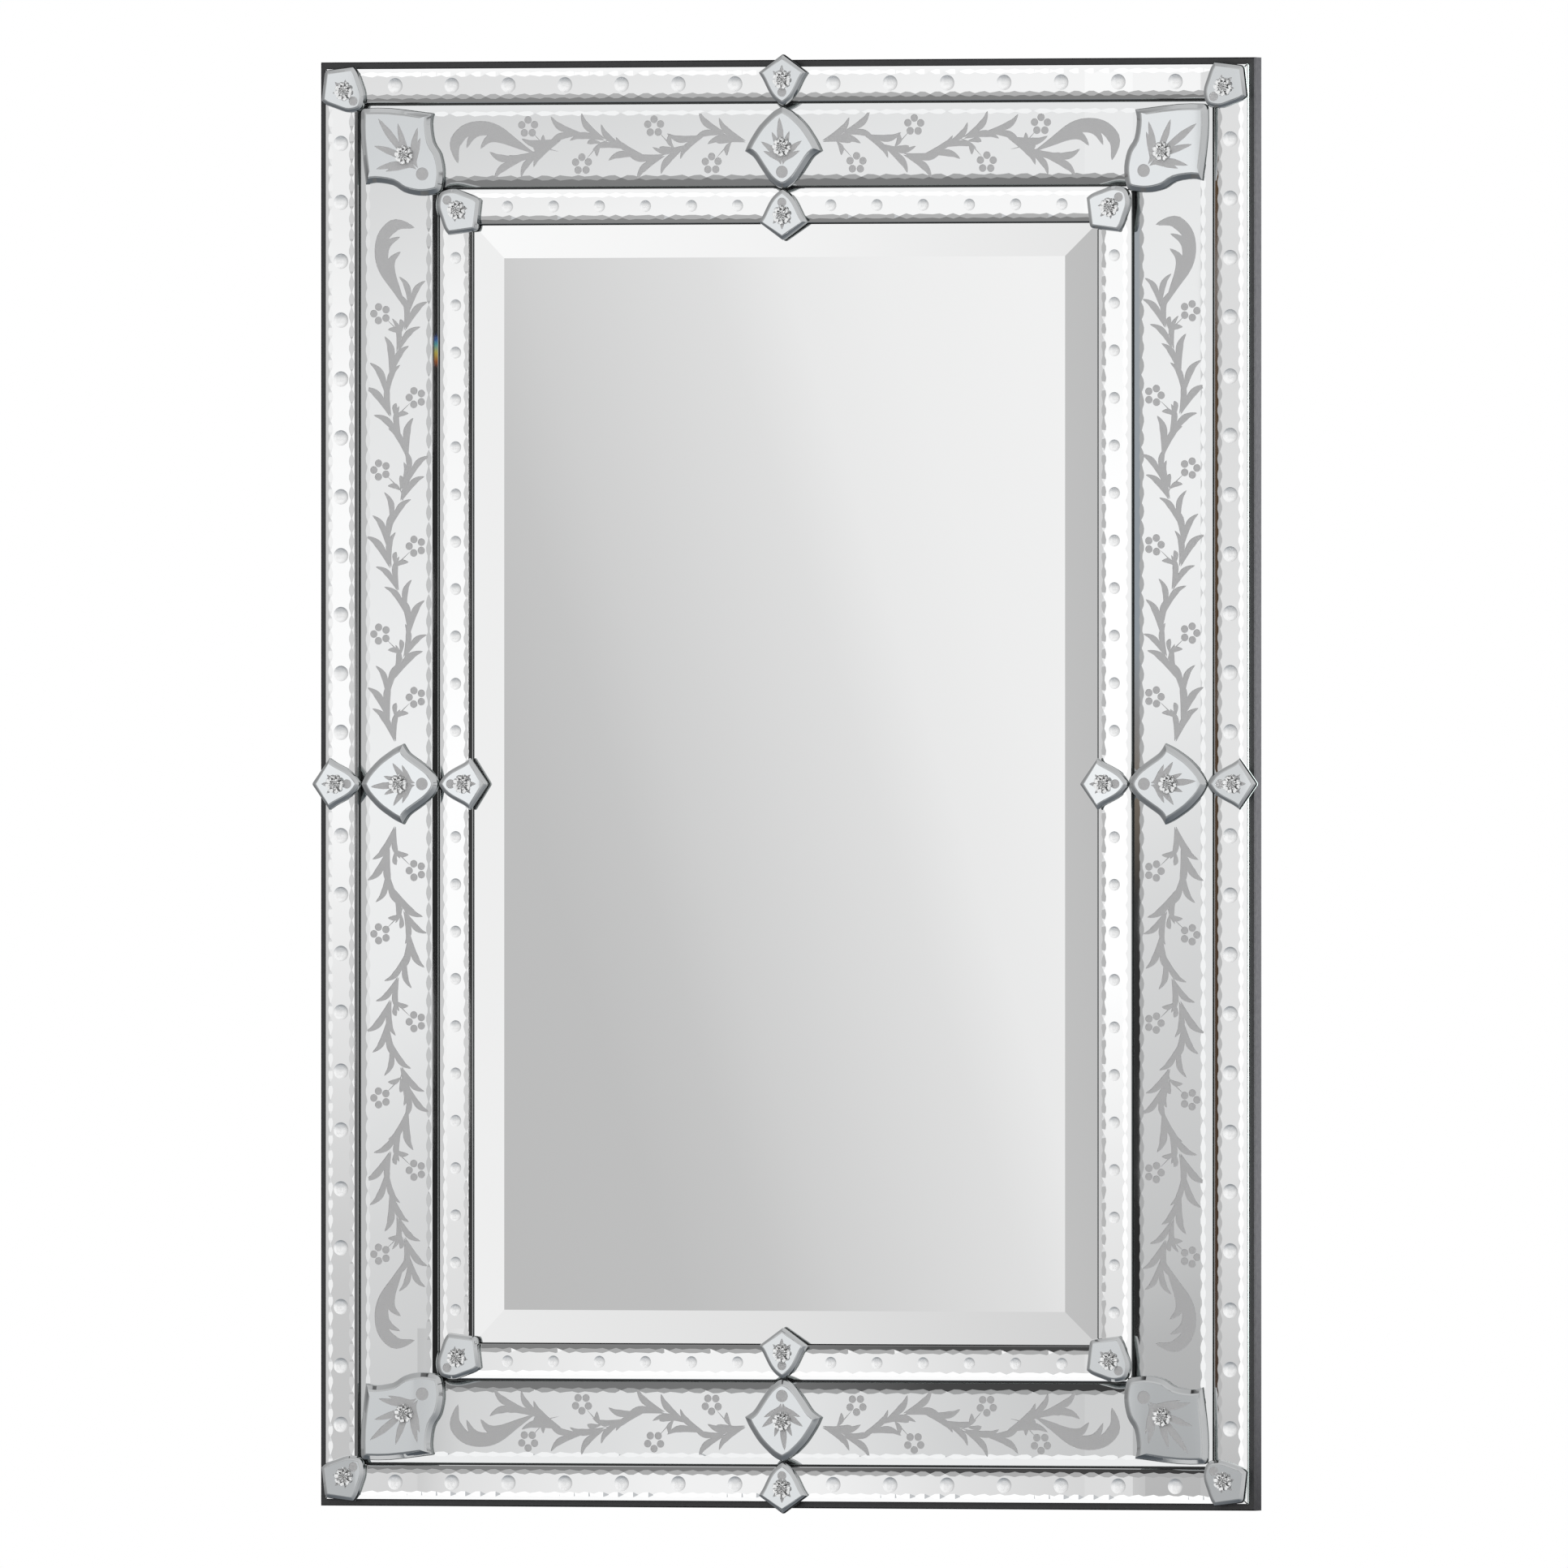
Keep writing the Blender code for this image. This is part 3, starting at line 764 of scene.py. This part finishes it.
def plate_blank(points, rounding, bevel):
    """A plate cut to its outline, with a steep shoulder and a bevel all round."""
    points = counterclockwise(points)
    eased = PLATE_THICKNESS - PLATE_EASING * math.tan(BEVEL_ANGLE / 2)
    slope = bevel - PLATE_SHOULDER - PLATE_EASING
    profile = [(bevel - PLATE_EASING - share * slope, eased - share * slope * math.tan(BEVEL_ANGLE))
               for share in (1, 0.75, 0.5, 0.25, 0)]
    profile.append((bevel, PLATE_THICKNESS))
    ring = rounded(points, rounding)
    blank = filled_shape(ring)
    edit(blank)
    bpy.ops.mesh.select_all(action="SELECT")
    bpy.ops.mesh.extrude_region_move(TRANSFORM_OT_translate={"value": (0, -PLATE_EDGE, 0)})
    height = PLATE_EDGE
    for inset, level in profile:
        bpy.ops.mesh.extrude_region_move(TRANSFORM_OT_translate={"value": (0, height - level, 0)})
        height = level
        next_ring = rounded(inset_ring(points, inset), max(rounding - inset, 0))
        # Each point of the top moves to its own place on the next ring in
        bm = bmesh.from_edit_mesh(blank.data)
        for vert in bm.verts:
            if vert.select:
                owner = min(range(len(ring)), key=lambda i: (ring[i] - vert.co.xz).length)
                vert.co.x, vert.co.z = next_ring[owner]
        bmesh.update_edit_mesh(blank.data)
        ring = next_ring
    leave_edit()
    blank.location.y = PLATE_BACK
    apply_place(blank)
    close_up(blank, threshold=0.05 * MM)
    lay_slots(blank, PLATE_SILVER_PAINTED_SHADE)
    return blank


def fan(ball, direction, leaves, ball_radius):
    """A ground ball with leaves that spring from behind it, bowed outwards."""
    gap = 0.8 * MM
    bow_share = 0.24
    fullness = 1.15
    across = Vector((-direction.y, direction.x))
    outlines = [dot(ball.x, ball.y, ball_radius, sides=28)]
    for angle, length, width in leaves:
        turn = math.radians(angle)
        root = ball + direction * (ball_radius + gap) + across * (gap * math.copysign(1, turn))
        tip = ball + (direction * math.cos(turn) + across * math.sin(turn)) * length
        bow = across * (-bow_share * length * math.sin(turn))
        points = [root, root.lerp(tip, 0.35) + bow, root.lerp(tip, 0.72) + bow * 0.7, tip]
        outlines.append(blade([tuple(p) for p in points], fullness * width, widest=0.66))
    return outlines


def finish_plate(plate):
    """Paint a plate, give its bevel a dim silver as painted shade, shade the bevel smooth and keep the
    line round its flat sharp.
    """
    flat = -0.999
    paint_glass(plate, PLATE_BACK)
    # Every bevel face of the plate gets the darker silver: painted shade
    for polygon in plate.data.polygons:
        if polygon.material_index == FACE and polygon.normal.y > flat:
            polygon.material_index = SHADE_PAINTED_BEVEL
    only(plate)
    bpy.ops.object.shade_smooth_by_angle(angle=PLATE_SMOOTH_ANGLE)
    edit(plate)
    pick(lambda middle, normal: normal.y < flat)
    bpy.ops.mesh.region_to_loop()
    bpy.ops.mesh.mark_sharp()
    leave_edit()


# Leaves of a fan: angle in degrees, length and width
LARGE_MEDALLION_FAN = [(3, 42 * MM, 4.6 * MM), (-11, 32 * MM, 3.8 * MM), (15, 32 * MM, 3.8 * MM),
                       (-34, 29 * MM, 4.2 * MM), (36, 29 * MM, 4.2 * MM),
                       (-42, 22 * MM, 3.4 * MM), (43, 22 * MM, 3.4 * MM)]
LARGE_CORNER_FAN = [(-5, 56 * MM, 5.0 * MM), (16, 45 * MM, 4.6 * MM), (-18, 44 * MM, 4.4 * MM),
                    (39, 38 * MM, 4.6 * MM), (-39, 36 * MM, 4.6 * MM),
                    (41, 30 * MM, 3.8 * MM), (-42, 28 * MM, 3.8 * MM)]
SMALL_FAN = [(0, 21 * MM, 3.2 * MM), (24, 18 * MM, 2.8 * MM), (-24, 18 * MM, 2.8 * MM)]
LARGE_BALL = 4.8 * MM
LARGE_CORNER_BALL = 5.04 * MM
SMALL_BALL = 3.6 * MM

# How far along its plate each ball is
LARGE_BALL_SHARE = 0.80
SMALL_BALL_SHARE = 0.745
LARGE_CORNER_BALL_SHARE = 0.753
SMALL_CORNER_BALL_SHARE = 0.755

MEDALLION_TIP_RADIUS = 2.2 * MM
CORNER_TIP_RADIUS = 4 * MM


def make_medallions():
    # Outline, its sharp point, which way it points, bevel, and the fan's place, leaves and ball
    small = (SMALL_PLATE_BEVEL, SMALL_BALL_SHARE, SMALL_FAN, SMALL_BALL)
    large = (LARGE_PLATE_BEVEL, LARGE_BALL_SHARE, LARGE_MEDALLION_FAN, LARGE_BALL)
    kinds = {
        "outer": (SMALL_MEDALLION, 1, 1, *small),
        "large": (LARGE_MEDALLION, 5, 1, *large),
        "inner": (SMALL_MEDALLION, 1, -1, *small),
    }
    for kind, (shares, sharp, inwards, bevel, ball_share, leaves, ball_radius) in kinds.items():
        low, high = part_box(f"medallion_{kind}_top")
        length = high[2] - low[2]
        apex = HALF_HEIGHT - (high[2] if inwards == 1 else low[2])
        outline = medallion_outline(shares, sharp, apex, length, high[0] - low[0], inwards)
        plate = plate_blank(outline, MEDALLION_TIP_RADIUS, bevel)
        ball = Vector((0, -(apex + inwards * ball_share * length)))
        engrave(plate, fan(ball, Vector((0, inwards)), leaves, ball_radius), PLATE_FRONT)
        finish_plate(plate)
        for side in SIDE_TURNS:
            piece = plate if side == "left" else copy_of(plate)
            stand_on_side(piece, side)
            hand_over(piece, f"{kind}_medallion_{side}", f"medallion_{kind}_{side}")


def make_corner_plates():
    small = (SMALL_PLATE_BEVEL, SMALL_CORNER_BALL_SHARE, SMALL_FAN, SMALL_BALL)
    large = (LARGE_PLATE_BEVEL, LARGE_CORNER_BALL_SHARE, LARGE_CORNER_FAN, LARGE_CORNER_BALL)
    kinds = {
        "outer": (SMALL_CORNER, 1, 1, *small),
        "large": (LARGE_CORNER, 2, 1, *large),
        "inner": (SMALL_CORNER, 1, -1, *small),
    }
    for kind, (shares, sharp, inwards, bevel, ball_share, leaves, ball_radius) in kinds.items():
        low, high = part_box(f"corner_{kind}_top_right")
        size = high[0] - low[0]
        start = HALF_WIDTH - (high[0] if inwards == 1 else low[0])
        outline = corner_outline(shares, sharp, start, size, inwards)
        plate = plate_blank(outline, CORNER_TIP_RADIUS, bevel)
        middle = -(start + inwards * ball_share * size)
        diagonal = Vector((inwards, inwards)).normalized()
        engrave(plate, fan(Vector((middle, middle)), diagonal, leaves, ball_radius), PLATE_FRONT)
        finish_plate(plate)
        for corner in CORNER_TURNS:
            piece = plate if corner == "top_left" else copy_of(plate)
            stand_on_corner(piece, corner)
            hand_over(piece, f"{kind}_corner_plate_{corner}", f"corner_{kind}_{corner}")


# Rosettes of clear pressed glass

ROSETTE_RADIUS = 7.5 * MM
ROSETTE_HEIGHT = 4.68 * MM
ROSETTE_GLUE = 0.3 * MM
PETALS = 9


def rosette_model():
    """A dome parted into petals by deep grooves, with a round button on top.

    It is shaped as a dome of radius 1, where each point is moved after its radius and turn.
    """
    bpy.ops.mesh.primitive_uv_sphere_add(segments=PETALS * 8, ring_count=20, radius=1)
    rosette = bpy.context.object
    edit(rosette)
    bpy.ops.mesh.select_all(action="SELECT")
    bpy.ops.mesh.bisect(plane_co=(0, 0, 0.001), plane_no=(0, 0, -1), use_fill=True, clear_outer=True)
    leave_edit()
    for vert in rosette.data.vertices:
        x, y, z = vert.co
        radius = math.hypot(x, y)
        turn = math.atan2(y, x)
        petal = abs(math.cos(PETALS * turn / 2))
        groove = 1 - petal ** 0.7
        rim = 1 - 0.16 * groove * radius
        height = z ** 0.6 * (1 - 0.42 * groove * min(1, radius * 1.6))
        button = 0.16 * math.exp(-(radius / 0.2) ** 2)
        dip = 0.2 * math.exp(-((radius - 0.36) / 0.14) ** 2)
        vert.co = (x * rim * ROSETTE_RADIUS, -(height - dip + button) * ROSETTE_HEIGHT,
                   y * rim * ROSETTE_RADIUS)
    close_up(rosette)
    rosette.data.materials.append(CRYSTAL)
    rosette.data.materials.append(MIRROR_SILVER)
    # The foil on its flat back
    for polygon in rosette.data.polygons:
        polygon.material_index = 1 if polygon.normal.y > 0.99 else 0
    only(rosette)
    bpy.ops.object.shade_smooth_by_angle(angle=math.radians(40))
    return rosette


def rosette_places():
    """Each rosette's plate, and the node that the rosette stands for."""
    for kind in ("outer", "large", "inner"):
        for corner in CORNER_TURNS:
            yield f"corner_{kind}_{corner}", f"rosette_corner_{kind}_{corner}"
        for side in SIDE_TURNS:
            plate = f"medallion_{kind}_{side}"
            yield plate, "rosette_" + plate if kind != "inner" else plate


def make_rosettes(chance):
    model = rosette_model()
    for plate, node in rosette_places():
        low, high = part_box(node)
        x, z = (low[0] + high[0]) / 2, (low[2] + high[2]) / 2
        piece = copy_of(model)
        piece.rotation_euler.y = chance.uniform(0, math.pi)
        piece.location = (x, PLATE_FRONT - ROSETTE_GLUE, z)
        apply_place(piece)
        hand_over(piece, "crystal_" + plate, node)
    bpy.data.objects.remove(model)


# Camera. A long lens from the right, level, and far enough for the picture's
# width at the mirror.

VIEW_AZIMUTH = math.radians(18.8)
PICTURE_WIDTH = 1210.8 * MM
LENS = 1000.0
SENSOR = 36.0
AIM_ACROSS = -6.6 * MM


def camera_place():
    distance = PICTURE_WIDTH * LENS / SENSOR
    right = Vector((math.cos(VIEW_AZIMUTH), math.sin(VIEW_AZIMUTH), 0))
    away = Vector((math.sin(VIEW_AZIMUTH), -math.cos(VIEW_AZIMUTH), 0))
    return right * AIM_ACROSS + away * distance


def make_camera():
    bpy.ops.object.camera_add()
    camera = bpy.context.object
    camera.data.lens = LENS
    camera.data.sensor_width = SENSOR
    camera.data.clip_end = 200
    camera.location = camera_place()
    camera.rotation_euler = (math.pi / 2, 0, VIEW_AZIMUTH)
    bpy.context.scene.camera = camera


# Cards that only reflections show, each as large as the flats, bevels or notches
# of the glass that look into it

CARD_DISTANCE = 3.5
CARD_MARGIN = 12 * MM
REFLECTANCE = 0.93
UPRIGHT = (0, 1)


def linear(shown):
    """The light that shows as this share of full white on a screen."""
    return ((shown + 0.055) / 1.055) ** 2.4


def looks_at(x, z, tilt, side):
    """Where on the cards' plane the camera sees, in glass tilted towards a side."""
    point = Vector((x, GLASS_FRONT, z))
    sway = {"right": (1, 0), "left": (-1, 0), "top": (0, 1), "bottom": (0, -1)}[side]
    normal = Vector((math.sin(tilt) * sway[0], -math.cos(tilt), math.sin(tilt) * sway[1]))
    ray = (point - camera_place()).normalized()
    onward = ray.reflect(normal)
    hit = point + onward * ((-CARD_DISTANCE - point.y) / onward.y)
    return hit.x, hit.z


def make_card(name, glass, tilt, side, stops, slant=(1, 0), spread=(CARD_MARGIN, CARD_MARGIN),
              forward=0.0):
    """A card that only reflections show, as large as this much glass looks into.

    The glass is given as its lowest and highest x and z. The stops give the
    card's brightness from its left to its right, or along a slant, and spread
    makes it larger all round, by more for glass that is cut in waves.
    """
    hits = [looks_at(x, z, tilt, side) for x in glass[:2] for z in glass[2:]]
    low = [min(hit[axis] for hit in hits) - spread[axis] for axis in (0, 1)]
    high = [max(hit[axis] for hit in hits) + spread[axis] for axis in (0, 1)]
    bpy.ops.mesh.primitive_plane_add(size=1, rotation=(math.pi / 2, 0, 0),
                                     location=((low[0] + high[0]) / 2, -CARD_DISTANCE + forward,
                                               (low[1] + high[1]) / 2))
    card = bpy.context.object
    card.name = name
    card.scale = (high[0] - low[0], high[1] - low[1], 1)
    card.visible_camera = False
    card.visible_shadow = False
    material = bpy.data.materials.new(name)
    material.use_nodes = True
    tree = material.node_tree
    tree.nodes.clear()
    glow = tree.nodes.new("ShaderNodeEmission")
    output = tree.nodes.new("ShaderNodeOutputMaterial")
    place = tree.nodes.new("ShaderNodeTexCoord")
    along = tree.nodes.new("ShaderNodeVectorMath")
    along.operation = "DOT_PRODUCT"
    along.inputs[1].default_value = (*slant, 0)
    shift = tree.nodes.new("ShaderNodeMath")
    shift.inputs[1].default_value = 0.5
    ramp = tree.nodes.new("ShaderNodeValToRGB")
    while len(ramp.color_ramp.elements) < len(stops):
        ramp.color_ramp.elements.new(1.0)
    for element, (where, shown) in zip(ramp.color_ramp.elements, stops):
        element.position = where
        shades = shown if isinstance(shown, tuple) else (shown,) * 3
        element.color = (*(linear(shade) / REFLECTANCE for shade in shades), 1)
    link = tree.links.new
    link(place.outputs["Object"], along.inputs[0])
    link(along.outputs["Value"], shift.inputs[0])
    link(shift.outputs[0], ramp.inputs["Fac"])
    link(ramp.outputs["Color"], glow.inputs["Color"])
    link(glow.outputs["Emission"], output.inputs["Surface"])
    card.data.materials.append(material)


def bevel_zone(ring, side, bevel):
    """The low part of an upright strip's inward bevel, and what is just beyond its edge."""
    _, inset, width = strip_sizes(f"{ring}_rail_right", "right")
    sign = 1 if side == "right" else -1
    across = sorted(sign * (HALF_WIDTH - inset - width + step) for step in (-CARD_MARGIN, bevel))
    return (*across, -HALF_HEIGHT, HALF_HEIGHT)


# Zones, as lowest and highest x and z: the whole board, the pane within its bevel, and each side
BOARD = (-HALF_WIDTH, HALF_WIDTH, -HALF_HEIGHT, HALF_HEIGHT)
PANE = (MIRROR_LOW[0] + MIRROR_BEVEL, MIRROR_HIGH[0] - MIRROR_BEVEL,
        MIRROR_LOW[2] + MIRROR_BEVEL, MIRROR_HIGH[2] - MIRROR_BEVEL)
STRIPS = {
    "left": (-HALF_WIDTH, MIRROR_LOW[0], -HALF_HEIGHT, HALF_HEIGHT),
    "right": (MIRROR_HIGH[0], HALF_WIDTH, -HALF_HEIGHT, HALF_HEIGHT),
    "bottom": (-HALF_WIDTH, HALF_WIDTH, -HALF_HEIGHT, MIRROR_LOW[2]),
    "top": (-HALF_WIDTH, HALF_WIDTH, MIRROR_HIGH[2], HALF_HEIGHT),
}


def make_flat_cards():
    """Daylight from above, a little darker towards the sides and the floor."""
    make_card("flats", BOARD, 0, "top", slant=(-0.2, 0.8), stops=[
        (0.0, 0.70), (0.12, 0.765), (0.17, 0.825), (0.34, 0.90), (0.48, 0.995), (0.57, 1.012),
        (0.83, 0.965), (0.93, 0.895), (1.0, 0.87)])
    for node, stops in (
            ("inner_rail_right", [(0.1, 0.87), (0.22, 0.92), (0.4, 1.03), (0.6, 1.03), (0.8, 0.99)]),
            ("outer_rail_right", [(0.03, 0.74), (0.24, 0.88), (0.56, 0.9), (0.8, 0.865), (0.9, 0.88)]),
            ("outer_rail_left", [(0.06, 0.77), (0.16, 0.79), (0.32, 0.89), (0.52, 1.0), (0.76, 0.99),
                                 (0.88, 0.94)])):
        low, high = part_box(node)
        flat = (low[0] + NARROW_BEVEL, high[0] - NARROW_BEVEL, -HALF_HEIGHT, HALF_HEIGHT)
        make_card(node + "_flat", flat, 0, "top", slant=UPRIGHT, forward=0.015, stops=stops)
    reach = HALF_WIDTH - 0.75 * (HALF_WIDTH - MIRROR_HIGH[0])
    low_flats = (-reach, reach, -HALF_HEIGHT, MIRROR_LOW[2])
    make_card("low_flats", low_flats, 0, "top", forward=0.01, stops=[
        (0.0, 0.81), (0.06, 0.89), (0.35, 0.955), (0.55, 0.95), (0.75, 0.885), (0.94, 0.84),
        (1.0, 0.77)])


def make_pane_cards():
    """The room as the mirror shows it: a soft grey, lighter towards the upper right."""
    make_card("pane", PANE, 0, "top", slant=(0.62, 0.36), forward=0.02, stops=[
        (0.06, 0.733), (0.23, 0.747), (0.33, 0.775), (0.4, 0.81), (0.5, 0.843), (0.6, 0.872),
        (0.68, 0.912), (0.78, 0.93), (0.94, 0.945)])
    left, _, bottom = MIRROR_LOW
    right, _, top = MIRROR_HIGH
    for side, zone, stops in (
            ("left", (left, PANE[0], bottom, top), [(0.0, 0.935), (1.0, 0.935)]),
            ("right", (PANE[1], right, bottom, top), [(0.0, 0.755), (1.0, 0.74)]),
            ("top", (left, right, PANE[3], top), [(0.0, 0.98), (0.5, 0.95), (1.0, 0.90)]),
            ("bottom", (left, right, bottom, PANE[2]), [(0.0, 0.92), (0.5, 0.88), (1.0, 0.82)])):
        make_card(f"pane_{side}_bevel", zone, MIRROR_BEVEL_ANGLE, side, forward=0.01, stops=stops)


def make_bevel_cards():
    """Dark for the low part of each inward bevel, and light for the outward ones."""
    gloom = [(0.0, 0.16), (0.42, 0.22), (0.5, (0.5, 0.46, 0.42)), (0.6, (0.60, 0.63, 0.66)),
             (1.0, (0.68, 0.70, 0.72))]
    brown = [(0.0, (0.26, 0.2, 0.16)), (1.0, (0.34, 0.27, 0.2))]
    for ring, on_left, shade_left, on_right, shade_right in (
            ("outer", 2.2 * MM, [(0.0, 0.42), (1.0, 0.36)], 3.2 * MM, brown),
            ("wide", 3.8 * MM, [(0.0, 0.15), (1.0, 0.18)], 5.0 * MM, gloom),
            ("inner", 2.8 * MM, [(0.0, 0.2), (1.0, 0.24)], NARROW_BEVEL, [(0.0, 0.8), (1.0, 0.84)])):
        make_card(ring + "_left_inward", bevel_zone(ring, "left", on_left), BEVEL_ANGLE, "right",
                  slant=UPRIGHT, spread=(0, 0), stops=shade_left)
        make_card(ring + "_right_inward", bevel_zone(ring, "right", on_right), BEVEL_ANGLE, "left",
                  slant=UPRIGHT, spread=(0, 0), stops=shade_right)
    for side, shown in (("left", 0.80), ("right", 0.95), ("top", 0.97), ("bottom", 1.0)):
        make_card(side + "_outward", STRIPS[side], BEVEL_ANGLE, side,
                  stops=[(0.0, shown), (1.0, shown)])
    make_card("top_inward", STRIPS["top"], BEVEL_ANGLE, "bottom", stops=[(0.0, 0.54), (1.0, 0.50)])
    make_card("bottom_inward", STRIPS["bottom"], BEVEL_ANGLE, "top", stops=[
        (0.0, 0.52), (0.5, 0.48), (0.65, 0.3), (1.0, 0.22)])


def make_notch_cards():
    """Notches are cut in waves, so they look into a longer stretch along their strip."""
    along_x = (0.9, CARD_MARGIN)
    along_z = (CARD_MARGIN, 0.9)
    for side, other, spread, inward, outward in (
            ("left", "right", along_z, 0.82, 0.95), ("right", "left", along_z, 0.72, 1.03),
            ("top", "bottom", along_x, 0.70, 1.03), ("bottom", "top", along_x, 0.68, 1.03)):
        make_card(side + "_inward_notches", STRIPS[side], BEVEL_ANGLE / 2, other, spread=spread,
                  stops=[(0.0, inward), (1.0, inward)])
        make_card(side + "_outward_notches", STRIPS[side], BEVEL_ANGLE / 2, side, spread=spread,
                  stops=[(0.0, outward), (1.0, outward)])


def make_rainbow_card():
    """A small rainbow, seen in the inward bevel of the left wide strip."""
    low, high = 327 * MM, 343 * MM
    zone = (*bevel_zone("wide", "left", WIDE_BEVEL)[:2], low, high)
    make_card("rainbow", zone, BEVEL_ANGLE, "right",
              slant=UPRIGHT, spread=(0, 5 * MM), forward=0.01, stops=[
                  (0.0, (0.2, 0.18, 0.2)), (0.2, (0.6, 0.35, 0.2)), (0.45, (0.7, 0.65, 0.3)),
                  (0.7, (0.3, 0.6, 0.6)), (0.85, (0.25, 0.35, 0.6)), (1.0, (0.2, 0.2, 0.25))])


# The studio round it

def make_world():
    """White behind the object for the camera, and for the rest a studio, dark at its back.

    Reflections that look down see a grey, which rises to white at the horizon.
    """
    world = bpy.data.worlds.new("studio")
    bpy.context.scene.world = world
    world.use_nodes = True
    tree = world.node_tree
    tree.nodes.clear()
    place = tree.nodes.new("ShaderNodeTexCoord")
    split = tree.nodes.new("ShaderNodeSeparateXYZ")
    turn = tree.nodes.new("ShaderNodeMapRange")
    turn.inputs["From Min"].default_value = -0.82
    turn.inputs["From Max"].default_value = 0.0
    rise = tree.nodes.new("ShaderNodeMapRange")
    rise.inputs["From Min"].default_value = -0.75
    rise.inputs["From Max"].default_value = 0.0
    front = tree.nodes.new("ShaderNodeMix")
    front.data_type = "RGBA"
    front.inputs["A"].default_value = (linear(0.48), linear(0.51), linear(0.54), 1)
    front.inputs["B"].default_value = (1, 1, 1, 1)
    studio = tree.nodes.new("ShaderNodeMix")
    studio.data_type = "RGBA"
    studio.inputs["B"].default_value = (linear(0.2), linear(0.2), linear(0.21), 1)
    path = tree.nodes.new("ShaderNodeLightPath")
    mix = tree.nodes.new("ShaderNodeMix")
    mix.data_type = "RGBA"
    mix.inputs["B"].default_value = (1, 1, 1, 1)
    glow = tree.nodes.new("ShaderNodeBackground")
    output = tree.nodes.new("ShaderNodeOutputWorld")
    link = tree.links.new
    link(place.outputs["Generated"], split.inputs["Vector"])
    link(split.outputs["Z"], rise.inputs["Value"])
    link(rise.outputs["Result"], front.inputs["Factor"])
    link(front.outputs["Result"], studio.inputs["A"])
    link(split.outputs["Y"], turn.inputs["Value"])
    link(turn.outputs["Result"], studio.inputs["Factor"])
    link(studio.outputs["Result"], mix.inputs["A"])
    link(path.outputs["Is Camera Ray"], mix.inputs["Factor"])
    link(mix.outputs["Result"], glow.inputs["Color"])
    link(glow.outputs["Background"], output.inputs["Surface"])


def make_side_light():
    """A narrow beam from the right along the wall, for the board's side alone."""
    bpy.ops.object.light_add(type="SPOT", location=(3.0, 0.25, 0.35),
                             rotation=(0, math.radians(84), 0))
    lamp = bpy.context.object
    lamp.data.spot_size = math.radians(32)
    lamp.data.spot_blend = 0.6
    lamp.data.energy = 1900
    lamp.visible_glossy = False


def make_floor():
    drop = 0.25
    bpy.ops.mesh.primitive_plane_add(size=6, location=(0, -1, -HALF_HEIGHT - drop))
    floor = bpy.context.object
    floor.name = "floor"
    floor.visible_glossy = False
    material, _ = new_finish("pale_floor", (0.8, 0.8, 0.79), 0.0, 0.7)
    floor.data.materials.append(material)


def main():
    bpy.context.scene.view_settings.view_transform = "Standard"
    make_camera()
    chance = random.Random(11)
    paint_board()
    make_centre_mirror()
    make_narrow_strips()
    make_wide_strips(chance)
    make_corner_plates()
    make_medallions()
    make_rosettes(chance)
    make_world()
    make_side_light()
    make_flat_cards()
    make_pane_cards()
    make_bevel_cards()
    make_notch_cards()
    make_rainbow_card()
    make_floor()


main()
